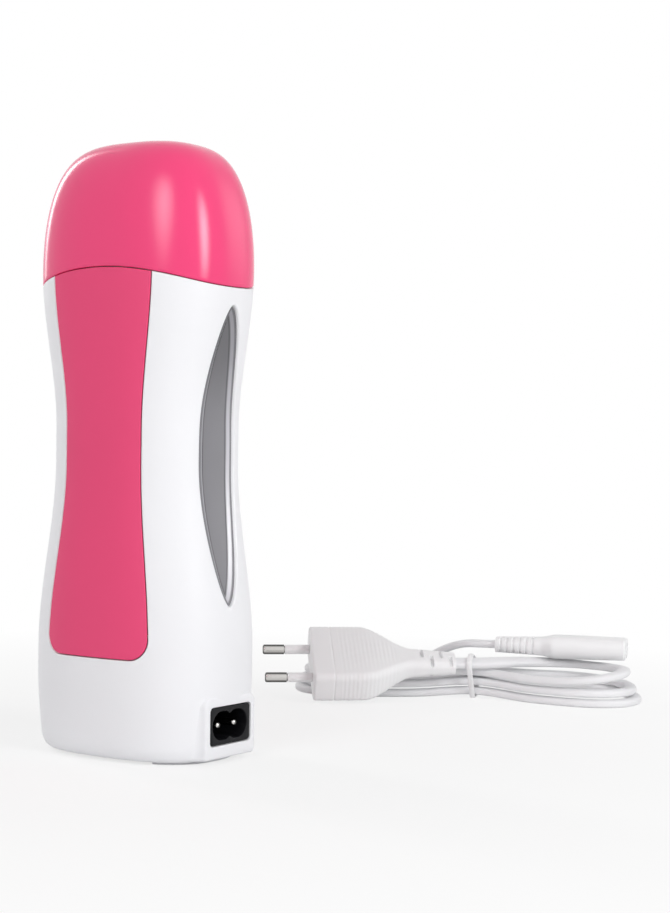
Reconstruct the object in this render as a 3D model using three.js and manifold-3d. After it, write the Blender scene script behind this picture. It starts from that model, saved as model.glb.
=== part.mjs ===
// A hand-held roll-on wax heater with a push-on cap, standing on its base, and its detachable mains lead,
// folded into a tied hank on the same surface. Millimetres, +Z up, origin at the centre of the base.
// +X is the side with the inlet, -Y is the front grip panel.
import * as THREE from 'three'
import { mergeVertices } from 'three/addons/utils/BufferGeometryUtils.js'
import Module from 'manifold-3d'

const wasm = await Module()
wasm.setup()

// Body: a superelliptic loft with a waist, a rounded foot and a domed crown
const overallHeight = 202.3
const waistHalfWidth = 30.7
const waistHalfDepth = 23.8
const footWidthGain = 6.4
const footDepthGain = 2.6
const shoulderWidthGain = 6.4
const shoulderDepthGain = 1.3
const waistLowZ = 96
const waistHighZ = 108
const footFullZ = 36
const crownHeight = 42.3
const shoulderZ = overallHeight - crownHeight
const shoulderLean = -0.7
const crownLean = 0.7
const shellBottomZ = 1
const footRound = 5
const footTuck = 2.6
const footDraft = 1.8
const footDraftHeight = 25
const footDraftShare = 1.5
const wall = 2.2
const fitGap = 0.3
const overrun = 2
const sectionPowerShare = 0.755
const crownRiseShare = 2.14
const crownSideShare = 0.237
const crownLeanShare = 6
const crownStationShares = [0.2, 0.4, 0.6, 0.75, 0.87, 0.95, 0.985, 0.998]

// Parting line between the cap and the shells: an arc over the front, carried through the depth
const capSideHeight = 48.9
const partingSideZ = overallHeight - capSideHeight
const partingRise = 6.15
const partingHalfWidth = waistHalfWidth + shoulderWidthGain
const capWall = 1.9

// Grip panels, inlaid in the front and the rear shell
const panelWaistHalfWidth = 16
const panelFootGain = 5.3
const panelShoulderGain = 4.8
const panelBottomZ = 33.7
const panelCorner = 6.5
const panelRecess = 1.4
const panelSink = 0.15

// Windows over the cartridge, with a lip behind the shell's wall
const windowLowZ = 50.3
const windowTopSpace = 5.65
const windowHighZ = partingSideZ - windowTopSpace
const windowHalfWidth = 9.1
const windowTipShare = 1.1
const lensSink = 1
const lensLip = 1.4
const lensBack = 1

// Inlet at the foot of the right side: a pad on the shells, and a socket in its pocket
const padFaceX = 36.8
const padRootX = 31.5
const padHalfWidth = 13
const padTopZ = 21.7
const padCorner = 3
const padFillet = 3
const padEdge = 0.8
const padFilletShares = [1, 0.55, 0.25, 0.08, 0]
const socketHalfWidth = 10.4
const socketHalfHeight = 6
const socketCorner = 1.2
const socketZ = 12.4
const socketDepth = 15
const socketSink = 0.4
const pocketDepth = 13
const pocketWall = 0.8
const recessDepth = 12
const recessLobe = 4.65
const pinSpacing = 8.6
const pinRadius = 1.18
const pinSink = 1
const pinTail = 4
const pinPlay = 0.15

// Base cover, which widens under the inlet, and its screws
const baseInset = 9.2
const baseHeadInset = 4.8
const baseHeadX = 19
const baseThickness = 2.6
const baseScrewX = -14
const baseScrewY = 9.5
const baseScrewLength = 9
const headRadius = 2.6
const headHeight = 1.6
const screwRadius = 1.2
const screwSlotDepth = 0.8
const screwSlotHalfWidth = 0.4
const postRadius = 3.2
const postTopZ = 16
const ribThickness = 2
const screwSlotShare = 0.7

// Screws that join the shells, under the rear grip panel
const shellScrewX = 14
const shellScrewZ = 38
const shellScrewLength = 24

// Cartridge chamber: collar in the cap, sleeve and cradle
const collarDepth = 12.4
const collarRise = 17.6
const collarLowZ = partingSideZ - collarDepth
const collarTopZ = partingSideZ + collarRise
const collarWall = 1.6
const deckThickness = 2
const mouthWall = 1.5
const mouthDepth = 21
const sleeveSideSpace = 1.7
const sleeveBackSpace = 6.1
const sleeveCorner = 8
const sleeveWall = 1.2
const sleeveTopZ = collarTopZ - mouthDepth
const slotHalfWidth = 6
const slotFloorSpace = 14.7
const slotTopSpace = 12
const ledgeWidth = 1.6
const ledgeThickness = 1.7
const cradleZ = 44.5
const cradleThickness = 2.8
const leadHoleHalfWidth = 9
const leadHoleDepth = 5

// Heater parts on the back of the sleeve, their heights as shares of its length
const stoneLowShare = 0.3
const stoneHeightShare = 0.214
const stoneHalfWidth = 9
const stoneThickness = 2.1
const stoneSpace = 1.5
const contactThickness = 0.4
const filmThickness = 0.3
const clipThickness = 0.8
const clipHeightShare = 0.27
const clipReach = 3
const fuseRadius = 1.5
const fuseLength = 12
const fuseLowShare = 0.085

// Leads inside
const leadRadius = 0.8
const leadStraight = 3.2
const leadTurnX = 7.1
const leadTurnRise = 3.2
const leadBendZ = 33
const leadHalfSpacing = 5

// Flat mains cord and its hank, behind the heater
const cordWidth = 5.2
const cordThickness = 3.2
const cordFlat = 3.25
const cordLayer = 3.9
const cordLoops = 3
const loopSteps = 24
const hankLeftReach = 74
const hankRightReach = 67
const hankFan = 2
const hankWaist = 2.95
const hankBulge = 37
const hankX = 19.4
const hankY = 187
const viewTurnDegrees = 40.3
const hankTurnDegrees = 20
const tieLiftReach = 26
const waistRoundShare = 0.02
const bulgePowerShare = 0.6
const halfLoop = 0.5

// When the cord does what, as the start and the length in turns of a loop
const layerClimbShares = [0.74, 0.24]
const connectorDriftShares = [0.125, 0.12]
const connectorDropShares = [0.005, 0.105]
const plugCrossShares = [0.53, 0.5]
const plugClimbShares = [0.56, 0.2]
const plugAsideShares = [0.8, 0.19]
const plugLiftShares = [0.85, 0.13]

// Plug with two half-sleeved round pins
const plugHalfWidth = 17.6
const plugHalfThickness = 6.8
const plugCorner = 3
const plugEdge = 1
const plugStraight = 20
const plugTaper = 22
const plugNeckHalfWidth = 6
const plugNeckHalfThickness = 4.2
const plugReliefLength = 17
const plugReliefHalfWidth = 5
const plugReliefHalfThickness = 3.2
const plugTiltDegrees = 30
const plugPinRadius = 2
const plugPinLength = 19
const plugPinSeat = 5
const plugPinPoint = 0.8
const plugPinSpacing = 18.6
const plugSleeveLength = 10
const plugSleeveRadius = 1.9
const plugSleeveWall = 0.4
const plugOffset = 10.6
const plugCordEnd = 6
const roundingShare = 0.9
const reliefSlotWidth = 1.3
const reliefSlotFloor = 2.4
const reliefSlotPitch = 3.9
const reliefSlotStart = 2.3
const reliefSlotCount = 4
const reliefSlotShares = [
  [-0.2, 0.7],
  [-0.9, 0]
]

// Connector that fits the inlet
const connectorHalfWidth = 7.9
const connectorHalfThickness = 4.6
const connectorTipTaper = 0.3
const connectorNose = 18
const connectorGrip = 17
const connectorShoulder = 6
const connectorReliefLength = 19
const connectorReliefHalfWidth = 4.2
const connectorReliefHalfThickness = 3.1
const connectorNeckHalfWidth = 5.6
const connectorNeckHalfThickness = 3.7
const connectorHoleRadius = 1.9
const connectorHoleDepth = 14
const connectorContactLength = 7
const connectorCordStart = 7
const connectorOffset = 9.4
const connectorLift = 20.8
const connectorSwing = 2
const connectorFluteHalfWidth = 2.3
const grooveDepth = 0.7
const grooveWidth = 1
const groovePitch = 2.7
const grooveStart = 2
const grooveCount = 6

// Tie round the waist of the hank
const tieWidth = 2.2
const tieThickness = 0.9
const tieSlack = 0.7

// Finishes: colour, roughness and metalness
const finish = (color, roughness, metalness = 0) => () =>
  new THREE.MeshStandardMaterial({ color, roughness, metalness })
const pinkGloss = finish(0xf04a83, 0.22)
const pinkSatin = finish(0xdd5079, 0.5)
const whiteShell = finish(0xf0f0f2, 0.35)
const whiteSoft = finish(0xebebed, 0.5)
const smokyLens = finish(0x8d8c91, 0.15)
const blackPlastic = finish(0x141317, 0.4)
const greyPlastic = finish(0xb9bcc0, 0.55)
const nickel = finish(0xc9c7c2, 0.25, 1)
const steel = finish(0x9a9c9f, 0.4, 1)
const aluminium = finish(0xc4c6c9, 0.35, 1)
const ceramic = finish(0x4a4744, 0.8)
const amberFilm = finish(0xb97a2a, 0.4)
const leadRed = finish(0x9f2b26, 0.5)
const leadBlue = finish(0x2b4a8f, 0.5)

// Small tools
const model = new THREE.Group()
const mergeDistance = 1e-5
const pinSides = 12
const bothSides = [-1, 1]
const halfTurn = Math.PI
const quarterTurn = Math.PI / 2
const degrees = Math.PI / 180
const at = (x, y, z) => new THREE.Vector3(x, y, z)
const clampShare = (t) => Math.min(Math.max(t, 0), 1)
const ascending = (a, b) => [Math.min(a, b), Math.max(a, b)]
const signedPower = (value, power) => Math.sign(value) * Math.abs(value) ** power

function ease(t) {
  const share = clampShare(t)
  return share * share * (3 - 2 * share)
}

// How far an event has run at time t, when it starts at one share and lasts another
const during = (t, [start, length]) => ease((t - start) / length)

function span(count, from, to) {
  return Array.from({ length: count + 1 }, (_, i) => from + ((to - from) * i) / count)
}

function solid(geometry) {
  const bare = geometry.clone()
  bare.deleteAttribute('normal')
  bare.deleteAttribute('uv')
  const merged = mergeVertices(bare, mergeDistance)
  const vertProperties = new Float32Array(merged.attributes.position.array)
  const triVerts = new Uint32Array(merged.index.array)
  return new wasm.Manifold(new wasm.Mesh({ numProp: 3, vertProperties, triVerts }))
}

function geometryOf(body) {
  const mesh = body.getMesh()
  const geometry = new THREE.BufferGeometry()
  geometry.setAttribute('position', new THREE.BufferAttribute(new Float32Array(mesh.vertProperties), 3))
  geometry.setIndex(new THREE.BufferAttribute(new Uint32Array(mesh.triVerts), 1))
  geometry.computeVertexNormals()
  return geometry
}

function add(name, shape, material, parent = model) {
  const geometry = shape.isBufferGeometry ? shape : geometryOf(shape)
  const mesh = new THREE.Mesh(geometry, material())
  mesh.name = name
  parent.add(mesh)
  return mesh
}

// A closed skin over rings with the same number of points each, with a fan at both ends
function skin(rings) {
  const count = rings[0].length
  const positions = rings.flat().flatMap((p) => [p.x, p.y, p.z])
  const index = []
  for (let r = 0; r < rings.length - 1; r++) {
    for (let i = 0; i < count; i++) {
      const a = r * count + i
      const b = r * count + ((i + 1) % count)
      index.push(a, b, b + count, a, b + count, a + count)
    }
  }
  const lastStart = (rings.length - 1) * count
  for (const start of [0, lastStart]) {
    const ring = start ? rings[rings.length - 1] : rings[0]
    const centre = ring.reduce((sum, p) => sum.add(p), at(0, 0, 0)).divideScalar(count)
    const hub = positions.length / 3
    positions.push(centre.x, centre.y, centre.z)
    for (let i = 0; i < count; i++) {
      const a = start + i
      const b = start + ((i + 1) % count)
      index.push(hub, start ? a : b, start ? b : a)
    }
  }
  const geometry = new THREE.BufferGeometry()
  geometry.setAttribute('position', new THREE.Float32BufferAttribute(positions, 3))
  geometry.setIndex(index)
  geometry.computeVertexNormals()
  return geometry
}

function extrude(shape, depth, curveSegments) {
  return new THREE.ExtrudeGeometry(shape, { depth, bevelEnabled: false, curveSegments })
}

// A profile drawn in X and Z, carried along Y
function slabAlongY(shape, yLow, yHigh, segments = 8) {
  const geometry = extrude(shape, yHigh - yLow, segments)
  geometry.rotateX(quarterTurn)
  geometry.translate(0, yHigh, 0)
  return solid(geometry)
}

// A profile drawn in Y and Z, carried along X
function slabAlongX(shape, xLow, xHigh, segments = 8) {
  const geometry = extrude(shape, xHigh - xLow, segments)
  geometry.applyMatrix4(new THREE.Matrix4().makeBasis(at(0, 1, 0), at(0, 0, 1), at(1, 0, 0)))
  geometry.translate(xLow, 0, 0)
  return solid(geometry)
}

// A profile drawn in X and Y, carried along Z
function slabAlongZ(shape, zLow, zHigh, segments = 5) {
  const geometry = extrude(shape, zHigh - zLow, segments)
  geometry.translate(0, 0, zLow)
  return solid(geometry)
}

function boxGeometry([xLow, xHigh], [yLow, yHigh], [zLow, zHigh]) {
  const geometry = new THREE.BoxGeometry(xHigh - xLow, yHigh - yLow, zHigh - zLow)
  geometry.translate((xLow + xHigh) / 2, (yLow + yHigh) / 2, (zLow + zHigh) / 2)
  return geometry
}

const box = (...ranges) => solid(boxGeometry(...ranges))

function rodGeometry(radius, from, to, sides = 16) {
  const along = new THREE.Vector3().subVectors(to, from)
  const geometry = new THREE.CylinderGeometry(radius, radius, along.length(), sides)
  const turn = new THREE.Quaternion().setFromUnitVectors(at(0, 1, 0), along.clone().normalize())
  geometry.applyQuaternion(turn)
  geometry.translate((from.x + to.x) / 2, (from.y + to.y) / 2, (from.z + to.z) / 2)
  return geometry
}

const rod = (...sizes) => solid(rodGeometry(...sizes))

function roundedRectangle(halfWidth, halfHeight, corner, centre = 0) {
  const shape = new THREE.Shape()
  const x = halfWidth - corner
  const y = halfHeight - corner
  shape.absarc(x, centre + y, corner, 0, quarterTurn)
  shape.absarc(-x, centre + y, corner, quarterTurn, halfTurn)
  shape.absarc(-x, centre - y, corner, halfTurn, halfTurn + quarterTurn)
  shape.absarc(x, centre - y, corner, halfTurn + quarterTurn, 2 * halfTurn)
  return shape
}

function outline(points) {
  return new THREE.Shape(points.map(([x, y]) => new THREE.Vector2(x, y)))
}

// Body section: half width, half depth and lean at a height, for a surface inset from the outside
const aroundSteps = 40
const footTopZ = shellBottomZ + footRound
const footDraftTopZ = shellBottomZ + footDraftHeight
const shoulderShare = (z) => ease((z - waistHighZ) / (shoulderZ - waistHighZ))
const footShare = (z) => ease((waistLowZ - z) / (waistLowZ - footFullZ))
const swell = (z, waist, foot, shoulder) => waist + foot * footShare(z) + shoulder * shoulderShare(z)

function section(z, inset, top = overallHeight) {
  const rise = clampShare((z - shoulderZ) / (top - shoulderZ))
  const dome = (1 - rise ** crownRiseShare) ** crownSideShare
  const foot = clampShare((footTopZ - z) / footRound)
  const draft = footDraft * clampShare((footDraftTopZ - z) / footDraftHeight) ** footDraftShare
  const edge = inset + draft + footTuck * (1 - Math.sqrt(1 - foot * foot))
  return {
    halfWidth: (swell(z, waistHalfWidth, footWidthGain, shoulderWidthGain) - edge) * dome,
    halfDepth: (swell(z, waistHalfDepth, footDepthGain, shoulderDepthGain) - edge) * dome,
    lean: shoulderLean * shoulderShare(z) + crownLean * rise ** crownLeanShare
  }
}

function sectionRing(z, inset, top, placeZ = z) {
  const { halfWidth, halfDepth, lean } = section(z, inset, top)
  const angles = span(aroundSteps, 0, 2 * halfTurn).slice(0, aroundSteps)
  return angles.map((angle) => {
    const x = halfWidth * signedPower(Math.cos(angle), sectionPowerShare)
    const y = lean + halfDepth * signedPower(Math.sin(angle), sectionPowerShare)
    return at(x, y, placeZ)
  })
}

// Depth of the rear surface beside the middle
function surfaceDepth(x, z, inset) {
  const { halfWidth, halfDepth, lean } = section(z, inset)
  const power = 2 / sectionPowerShare
  return lean + halfDepth * (1 - Math.abs(x / halfWidth) ** power) ** (1 / power)
}

// Heights where the loft has rings, besides those at its ends
const bodyStations = [
  ...span(3, shellBottomZ, footTopZ),
  (footTopZ + footDraftTopZ) / 2,
  footDraftTopZ,
  ...span(5, footFullZ, waistLowZ),
  ...span(6, waistHighZ, shoulderZ),
  ...crownStationShares.map((share) => shoulderZ + share * (overallHeight - shoulderZ))
]

function loft(inset, zLow, zHigh, top = overallHeight) {
  const between = bodyStations.filter((z) => z > zLow + fitGap && z < zHigh - fitGap)
  return solid(skin([zLow, ...between, zHigh].map((z) => sectionRing(z, inset, top))))
}

// A straight prism with the section of the foot
function footPrism(inset, zLow, zHigh) {
  return solid(skin([zLow, zHigh].map((z) => sectionRing(footTopZ, inset, overallHeight, z))))
}

// Outline of the base cover: an oblong, and a wider head at the end with the inlet
function coverPrism(grow, zLow, zHigh) {
  const head = box([baseHeadX - grow, wide], across, [zLow - overrun, zHigh + overrun])
  const widened = footPrism(baseHeadInset - grow, zLow, zHigh).intersect(head)
  return footPrism(baseInset - grow, zLow, zHigh).add(widened)
}

// Parting arc, and the space over it
const partingRadius = (partingHalfWidth ** 2 + partingRise ** 2) / (2 * partingRise)
const partingAngle = Math.asin(partingHalfWidth / partingRadius)
const partingTopZ = partingSideZ + partingRise
const wide = partingHalfWidth + overrun
const across = [-wide, wide]
const upright = [-overrun, overallHeight + overrun]

function abovePartingLine(offset) {
  const centreZ = partingTopZ - partingRadius + offset
  const arc = span(16, -partingAngle, partingAngle).map((angle) => [
    partingRadius * Math.sin(angle),
    centreZ + partingRadius * Math.cos(angle)
  ])
  const endZ = arc[0][1]
  const top = upright[1]
  return slabAlongY(outline([[-wide, endZ], ...arc, [wide, endZ], [wide, top], [-wide, top]]), ...across)
}

const everywhere = box(across, across, upright)
const belowShellEdge = everywhere.subtract(abovePartingLine(0))
const frontHalf = box(across, [-wide, 0], upright)
const rearHalf = box(across, [0, wide], upright)

// Cap: a domed shell that pushes over the collar
const crownGap = fitGap / 2
const bodyWhole = loft(0, shellBottomZ, overallHeight - crownGap / 2)
const capInnerTop = overallHeight - capWall
const capInside = loft(capWall, partingSideZ - overrun, capInnerTop - crownGap, capInnerTop)
add('cap', bodyWhole.intersect(abovePartingLine(fitGap)).subtract(capInside), pinkGloss)

// Outline of the grip panels, its top hidden past the parting line
function panelOutline(grow) {
  const corner = panelCorner + grow
  const bottom = panelBottomZ - grow
  const edge = (z) => swell(z, panelWaistHalfWidth, panelFootGain, panelShoulderGain) + grow
  const turnX = edge(bottom + corner) - corner
  const turn = span(4, -quarterTurn, 0).map((angle) => [
    turnX + corner * Math.cos(angle),
    bottom + corner * (1 + Math.sin(angle))
  ])
  const side = span(11, bottom + corner, partingTopZ + overrun).map((z) => [edge(z), z])
  const right = [...turn, ...side.slice(1)]
  const left = right.map(([x, z]) => [-x, z]).reverse()
  return outline([...right, ...left])
}

// Outline of the windows: a pointed oval
const windowMiddle = (windowLowZ + windowHighZ) / 2
const windowSteps = 24

function windowOutline(grow) {
  const halfHeight = (windowHighZ - windowLowZ) / 2 + grow
  const halfWidth = windowHalfWidth + grow
  const angles = span(windowSteps, 0, 2 * halfTurn).slice(0, windowSteps)
  return outline(
    angles.map((angle) => [
      halfWidth * signedPower(Math.cos(angle), windowTipShare),
      windowMiddle + halfHeight * Math.sin(angle)
    ])
  )
}

const windowSlab = (grow) => slabAlongX(windowOutline(grow), waistHalfWidth / 2, wide)

function windowSlabs(grow) {
  const right = windowSlab(grow)
  return right.add(right.mirror([1, 0, 0]))
}

// Pad round the inlet: it spreads into the shell's surface at its root and has a small edge at its face
function padRing(x, grow) {
  const side = padHalfWidth + grow
  const top = padTopZ + grow
  const bottom = shellBottomZ + Math.max(-grow, 0)
  const corner = padCorner + Math.max(grow, 0)
  const arc = (y, start) =>
    span(4, start, start + quarterTurn).map((angle) =>
      at(x, y + corner * Math.cos(angle), top - corner + corner * Math.sin(angle))
    )
  const turns = [...arc(side - corner, 0), ...arc(corner - side, quarterTurn)]
  return [at(x, side, bottom), ...turns, at(x, -side, bottom)]
}

const padFilletX = span(padFilletShares.length - 1, padRootX, padFaceX - padEdge)
const pad = solid(
  skin([
    padRing(padRootX - padCorner, padFillet),
    ...padFilletShares.map((share, i) => padRing(padFilletX[i], share * padFillet)),
    padRing(padFaceX, -padEdge)
  ])
)

// Shells: one loft with the pad, hollow and open below
const socketFaceX = padFaceX - socketSink
const socketBackX = socketFaceX - socketDepth
const socketOutline = (grow) =>
  roundedRectangle(socketHalfWidth + grow, socketHalfHeight + grow, socketCorner + grow, socketZ)
let shells = bodyWhole.add(pad).intersect(belowShellEdge)
shells = shells.subtract(loft(wall, footTopZ, partingTopZ + overrun))
shells = shells.subtract(coverPrism(fitGap, shellBottomZ - overrun, footTopZ + fitGap))

// Pocket for the socket
const pocketX = padFaceX - pocketDepth
shells = shells.add(slabAlongX(socketOutline(fitGap + pocketWall), pocketX, padFaceX - wall, 4))
shells = shells.subtract(slabAlongX(socketOutline(fitGap), pocketX - overrun, wide, 4))

// Ledges under the cradle and the collar, with a break at the windows
for (const seatZ of [cradleZ, collarLowZ]) {
  const top = seatZ - fitGap
  const low = top - ledgeThickness
  const ring = loft(wall - fitGap, low, top).subtract(loft(wall + ledgeWidth, low - overrun, top + overrun))
  shells = shells.add(ring.subtract(windowSlabs(lensLip + fitGap)))
}

// Posts for the screws: across for the shells, upright with a rib to the wall for the base
const rearSeatY =
  surfaceDepth(shellScrewX + headRadius + fitGap, shellScrewZ, panelRecess) - headHeight - fitGap
const screwHoleRadius = screwRadius + fitGap
const headHoleRadius = headRadius + fitGap
for (const side of bothSides) {
  const x = side * shellScrewX
  const reach = surfaceDepth(shellScrewX, shellScrewZ, wall / 2)
  const outY = rearSeatY + headHeight + overrun
  const inY = rearSeatY - shellScrewLength - fitGap
  shells = shells.add(rod(postRadius, at(x, -reach, shellScrewZ), at(x, reach, shellScrewZ)))
  shells = shells.subtract(rod(screwHoleRadius, at(x, inY, shellScrewZ), at(x, outY, shellScrewZ)))
  shells = shells.subtract(rod(headHoleRadius, at(x, rearSeatY, shellScrewZ), at(x, outY, shellScrewZ)))
}
for (const side of bothSides) {
  const y = side * baseScrewY
  const ribX = [baseScrewX - ribThickness / 2, baseScrewX + ribThickness / 2]
  const ribY = ascending(y, side * surfaceDepth(baseScrewX, postTopZ, wall / 2))
  const holeTop = headHeight + baseScrewLength + fitGap
  shells = shells.add(rod(postRadius, at(baseScrewX, y, baseThickness + fitGap), at(baseScrewX, y, postTopZ)))
  shells = shells.add(box(ribX, ribY, [footTopZ, postTopZ]))
  shells = shells.subtract(rod(screwHoleRadius, at(baseScrewX, y, 0), at(baseScrewX, y, holeTop)))
}

// Recesses for the panels and openings for the windows, then the split on the middle of the sides
const recessSkin = everywhere.subtract(loft(panelRecess, shellBottomZ, partingTopZ + 2 * overrun))
shells = shells.subtract(slabAlongY(panelOutline(fitGap), ...across).intersect(recessSkin))
shells = shells.subtract(windowSlabs(0))
add('front_shell', shells.intersect(frontHalf), whiteShell)
add('rear_shell', shells.intersect(rearHalf), whiteShell)

// A layer between two insets of the body
function layer(outerInset, innerInset, zLow, zHigh) {
  return loft(outerInset, zLow, zHigh).subtract(loft(innerInset, zLow - overrun, zHigh + overrun))
}

// Grip panels, a little below flush, stopping short of the cap
const panelBand = layer(panelSink, panelRecess - fitGap / 2, footTopZ + overrun, partingTopZ + overrun)
const panels = slabAlongY(panelOutline(0), ...across).intersect(panelBand).intersect(belowShellEdge)
add('front_grip_panel', panels.intersect(frontHalf), pinkSatin)
add('rear_grip_panel', panels.intersect(rearHalf), pinkSatin)

// Windows: a lens that fills the opening, and its lip behind the wall
const lensBackInset = wall + fitGap + lensBack
const lensRange = [windowLowZ - lensLip - overrun, windowHighZ + lensLip + overrun]
const lensFront = windowSlab(-fitGap).intersect(layer(lensSink, lensBackInset, ...lensRange))
const lensRear = windowSlab(lensLip).intersect(layer(wall + fitGap, lensBackInset, ...lensRange))
const lens = lensFront.add(lensRear)
add('window_right', lens, smokyLens)
add('window_left', lens.mirror([1, 0, 0]), smokyLens)

// Base cover, held by two screws from below
let baseCover = coverPrism(0, 0, baseThickness)
for (const side of bothSides) {
  const y = side * baseScrewY
  const headTop = headHeight + fitGap
  baseCover = baseCover.subtract(rod(headHoleRadius, at(baseScrewX, y, -overrun), at(baseScrewX, y, headTop)))
  baseCover = baseCover.subtract(rod(screwHoleRadius, at(baseScrewX, y, 0), at(baseScrewX, y, postTopZ)))
}
add('base_cover', baseCover, whiteShell)

// Screws: a flat head with a cross slot, and a plain shank
function screw(length) {
  const arm = headRadius * screwSlotShare
  const long = [-arm, arm]
  const narrow = [-screwSlotHalfWidth, screwSlotHalfWidth]
  const deep = [-overrun, screwSlotDepth]
  const head = rod(headRadius, at(0, 0, 0), at(0, 0, headHeight))
  const shank = rod(screwRadius, at(0, 0, screwSlotDepth), at(0, 0, headHeight + length), pinSides)
  const cross = box(long, narrow, deep).add(box(narrow, long, deep))
  return geometryOf(head.add(shank).subtract(cross))
}

for (const side of bothSides) {
  const baseScrew = add(`base_screw_${side < 0 ? 'front' : 'rear'}`, screw(baseScrewLength), steel)
  baseScrew.position.set(baseScrewX, side * baseScrewY, fitGap / 2)
  const shellScrew = add(`shell_screw_${side < 0 ? 'left' : 'right'}`, screw(shellScrewLength), steel)
  shellScrew.rotation.x = quarterTurn
  shellScrew.position.set(side * shellScrewX, rearSeatY + headHeight + fitGap / 2, shellScrewZ)
}

// Cartridge chamber: the sleeve fits between the lenses, with room behind it for the heater parts. It
// stands on the cradle, and the collar holds its mouth.
const sleeveHalfWidth = waistHalfWidth - lensBackInset - sleeveSideSpace
const sleeveHalfDepth = waistHalfDepth - wall - sleeveBackSpace
const sleeveFloorZ = cradleZ + cradleThickness
const sleeveOutline = (grow) =>
  roundedRectangle(sleeveHalfWidth + grow, sleeveHalfDepth + grow, sleeveCorner + grow)
const sleeveInside = slabAlongZ(sleeveOutline(-sleeveWall), sleeveFloorZ + sleeveWall, sleeveTopZ + overrun)
const slotZ = [sleeveFloorZ + slotFloorSpace, sleeveTopZ - slotTopSpace]
let sleeve = slabAlongZ(sleeveOutline(0), sleeveFloorZ, sleeveTopZ).subtract(sleeveInside)
sleeve = sleeve.subtract(box(across, [-slotHalfWidth, slotHalfWidth], slotZ))
add('cartridge_sleeve', sleeve, aluminium)

const leadHoleY = sleeveHalfDepth + fitGap
const leadHoleX = [-leadHoleHalfWidth, leadHoleHalfWidth]
const leadHole = box(leadHoleX, [leadHoleY, leadHoleY + leadHoleDepth], [cradleZ - overrun, sleeveTopZ])
add('chamber_cradle', loft(wall + fitGap, cradleZ, sleeveFloorZ).subtract(leadHole), greyPlastic)

const collarInset = wall + fitGap
const mouthLowZ = sleeveTopZ + fitGap
const underDeck = loft(collarInset + collarWall, collarLowZ - overrun, collarTopZ - deckThickness)
const mouthTube = slabAlongZ(sleeveOutline(mouthWall - sleeveWall), mouthLowZ, collarTopZ)
const mouthBore = slabAlongZ(sleeveOutline(-sleeveWall), mouthLowZ - overrun, collarTopZ + overrun)
const collarSkirt = loft(collarInset, collarLowZ, collarTopZ).subtract(underDeck)
const collar = collarSkirt.add(mouthTube).subtract(mouthBore).subtract(windowSlabs(lensLip + fitGap))
add('collar', collar, whiteShell)

// Heating stones on the back of the sleeve, under contact plate, film and spring clip
const sleeveLength = sleeveTopZ - sleeveFloorZ
const stoneLowZ = sleeveFloorZ + stoneLowShare * sleeveLength
const stoneHeight = stoneHeightShare * sleeveLength
const stoneBackY = sleeveHalfDepth + stoneThickness
const contactBackY = stoneBackY + contactThickness
const filmBackY = contactBackY + filmThickness
const stonesTopZ = stoneLowZ + 2 * stoneHeight + stoneSpace
const stoneX = [-stoneHalfWidth, stoneHalfWidth]
const stonesZ = [stoneLowZ, stonesTopZ]
for (const [i, name] of ['lower', 'upper'].entries()) {
  const low = stoneLowZ + i * (stoneHeight + stoneSpace)
  const stone = boxGeometry(stoneX, [sleeveHalfDepth, stoneBackY], [low, low + stoneHeight])
  add(`heating_stone_${name}`, stone, ceramic)
}
add('contact_plate', boxGeometry(stoneX, [stoneBackY, contactBackY], stonesZ), nickel)
add('insulation_film', boxGeometry(stoneX, [contactBackY, filmBackY], stonesZ), amberFilm)

// Spring clip: a plate over the stack, two legs beside it and feet on the sleeve
const clipMiddle = (stoneLowZ + stonesTopZ) / 2
const clipHalfHeight = (clipHeightShare * sleeveLength) / 2
const clipZ = [clipMiddle - clipHalfHeight, clipMiddle + clipHalfHeight]
const clipInnerX = stoneHalfWidth + fitGap
const clipOuterX = stoneHalfWidth + clipReach
const clipBackY = filmBackY + clipThickness
const footBackY = sleeveHalfDepth + clipThickness
let clip = box([-clipOuterX, clipOuterX], [sleeveHalfDepth, clipBackY], clipZ)
clip = clip.subtract(box([-clipInnerX, clipInnerX], [0, filmBackY], upright))
for (const side of bothSides) {
  const outside = ascending(side * (clipInnerX + clipThickness), side * (clipOuterX + overrun))
  clip = clip.subtract(box(outside, [footBackY, clipBackY + overrun], upright))
}
add('spring_clip', clip, steel)

// Thermal fuse, upright on the back of the sleeve
const fuseX = -leadHalfSpacing
const fuseY = sleeveHalfDepth + fitGap + fuseRadius
const fuseLowZ = sleeveFloorZ + fuseLowShare * sleeveLength
const fuseTopZ = fuseLowZ + fuseLength
const fuseEnds = [at(fuseX, fuseY, fuseLowZ), at(fuseX, fuseY, fuseTopZ)]
add('thermal_fuse', rodGeometry(fuseRadius, ...fuseEnds, pinSides), nickel)

// Inlet socket with a two-lobed recess, and its pins
const recessOutline = new THREE.Shape()
recessOutline.absarc(pinSpacing / 2, socketZ, recessLobe, -quarterTurn, quarterTurn)
recessOutline.absarc(-pinSpacing / 2, socketZ, recessLobe, quarterTurn, halfTurn + quarterTurn)
let socket = slabAlongX(socketOutline(0), socketBackX, socketFaceX, 4)
socket = socket.subtract(slabAlongX(recessOutline, socketFaceX - recessDepth, wide))
for (const side of bothSides) {
  const y = (side * pinSpacing) / 2
  const pin = [at(socketBackX - pinTail, y, socketZ), at(socketFaceX - pinSink, y, socketZ)]
  socket = socket.subtract(rod(pinRadius + pinPlay, ...pin, pinSides))
  add(`inlet_pin_${side < 0 ? 'front' : 'rear'}`, rodGeometry(pinRadius, ...pin, pinSides), nickel)
}
add('inlet_socket', socket, blackPlastic)

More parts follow.
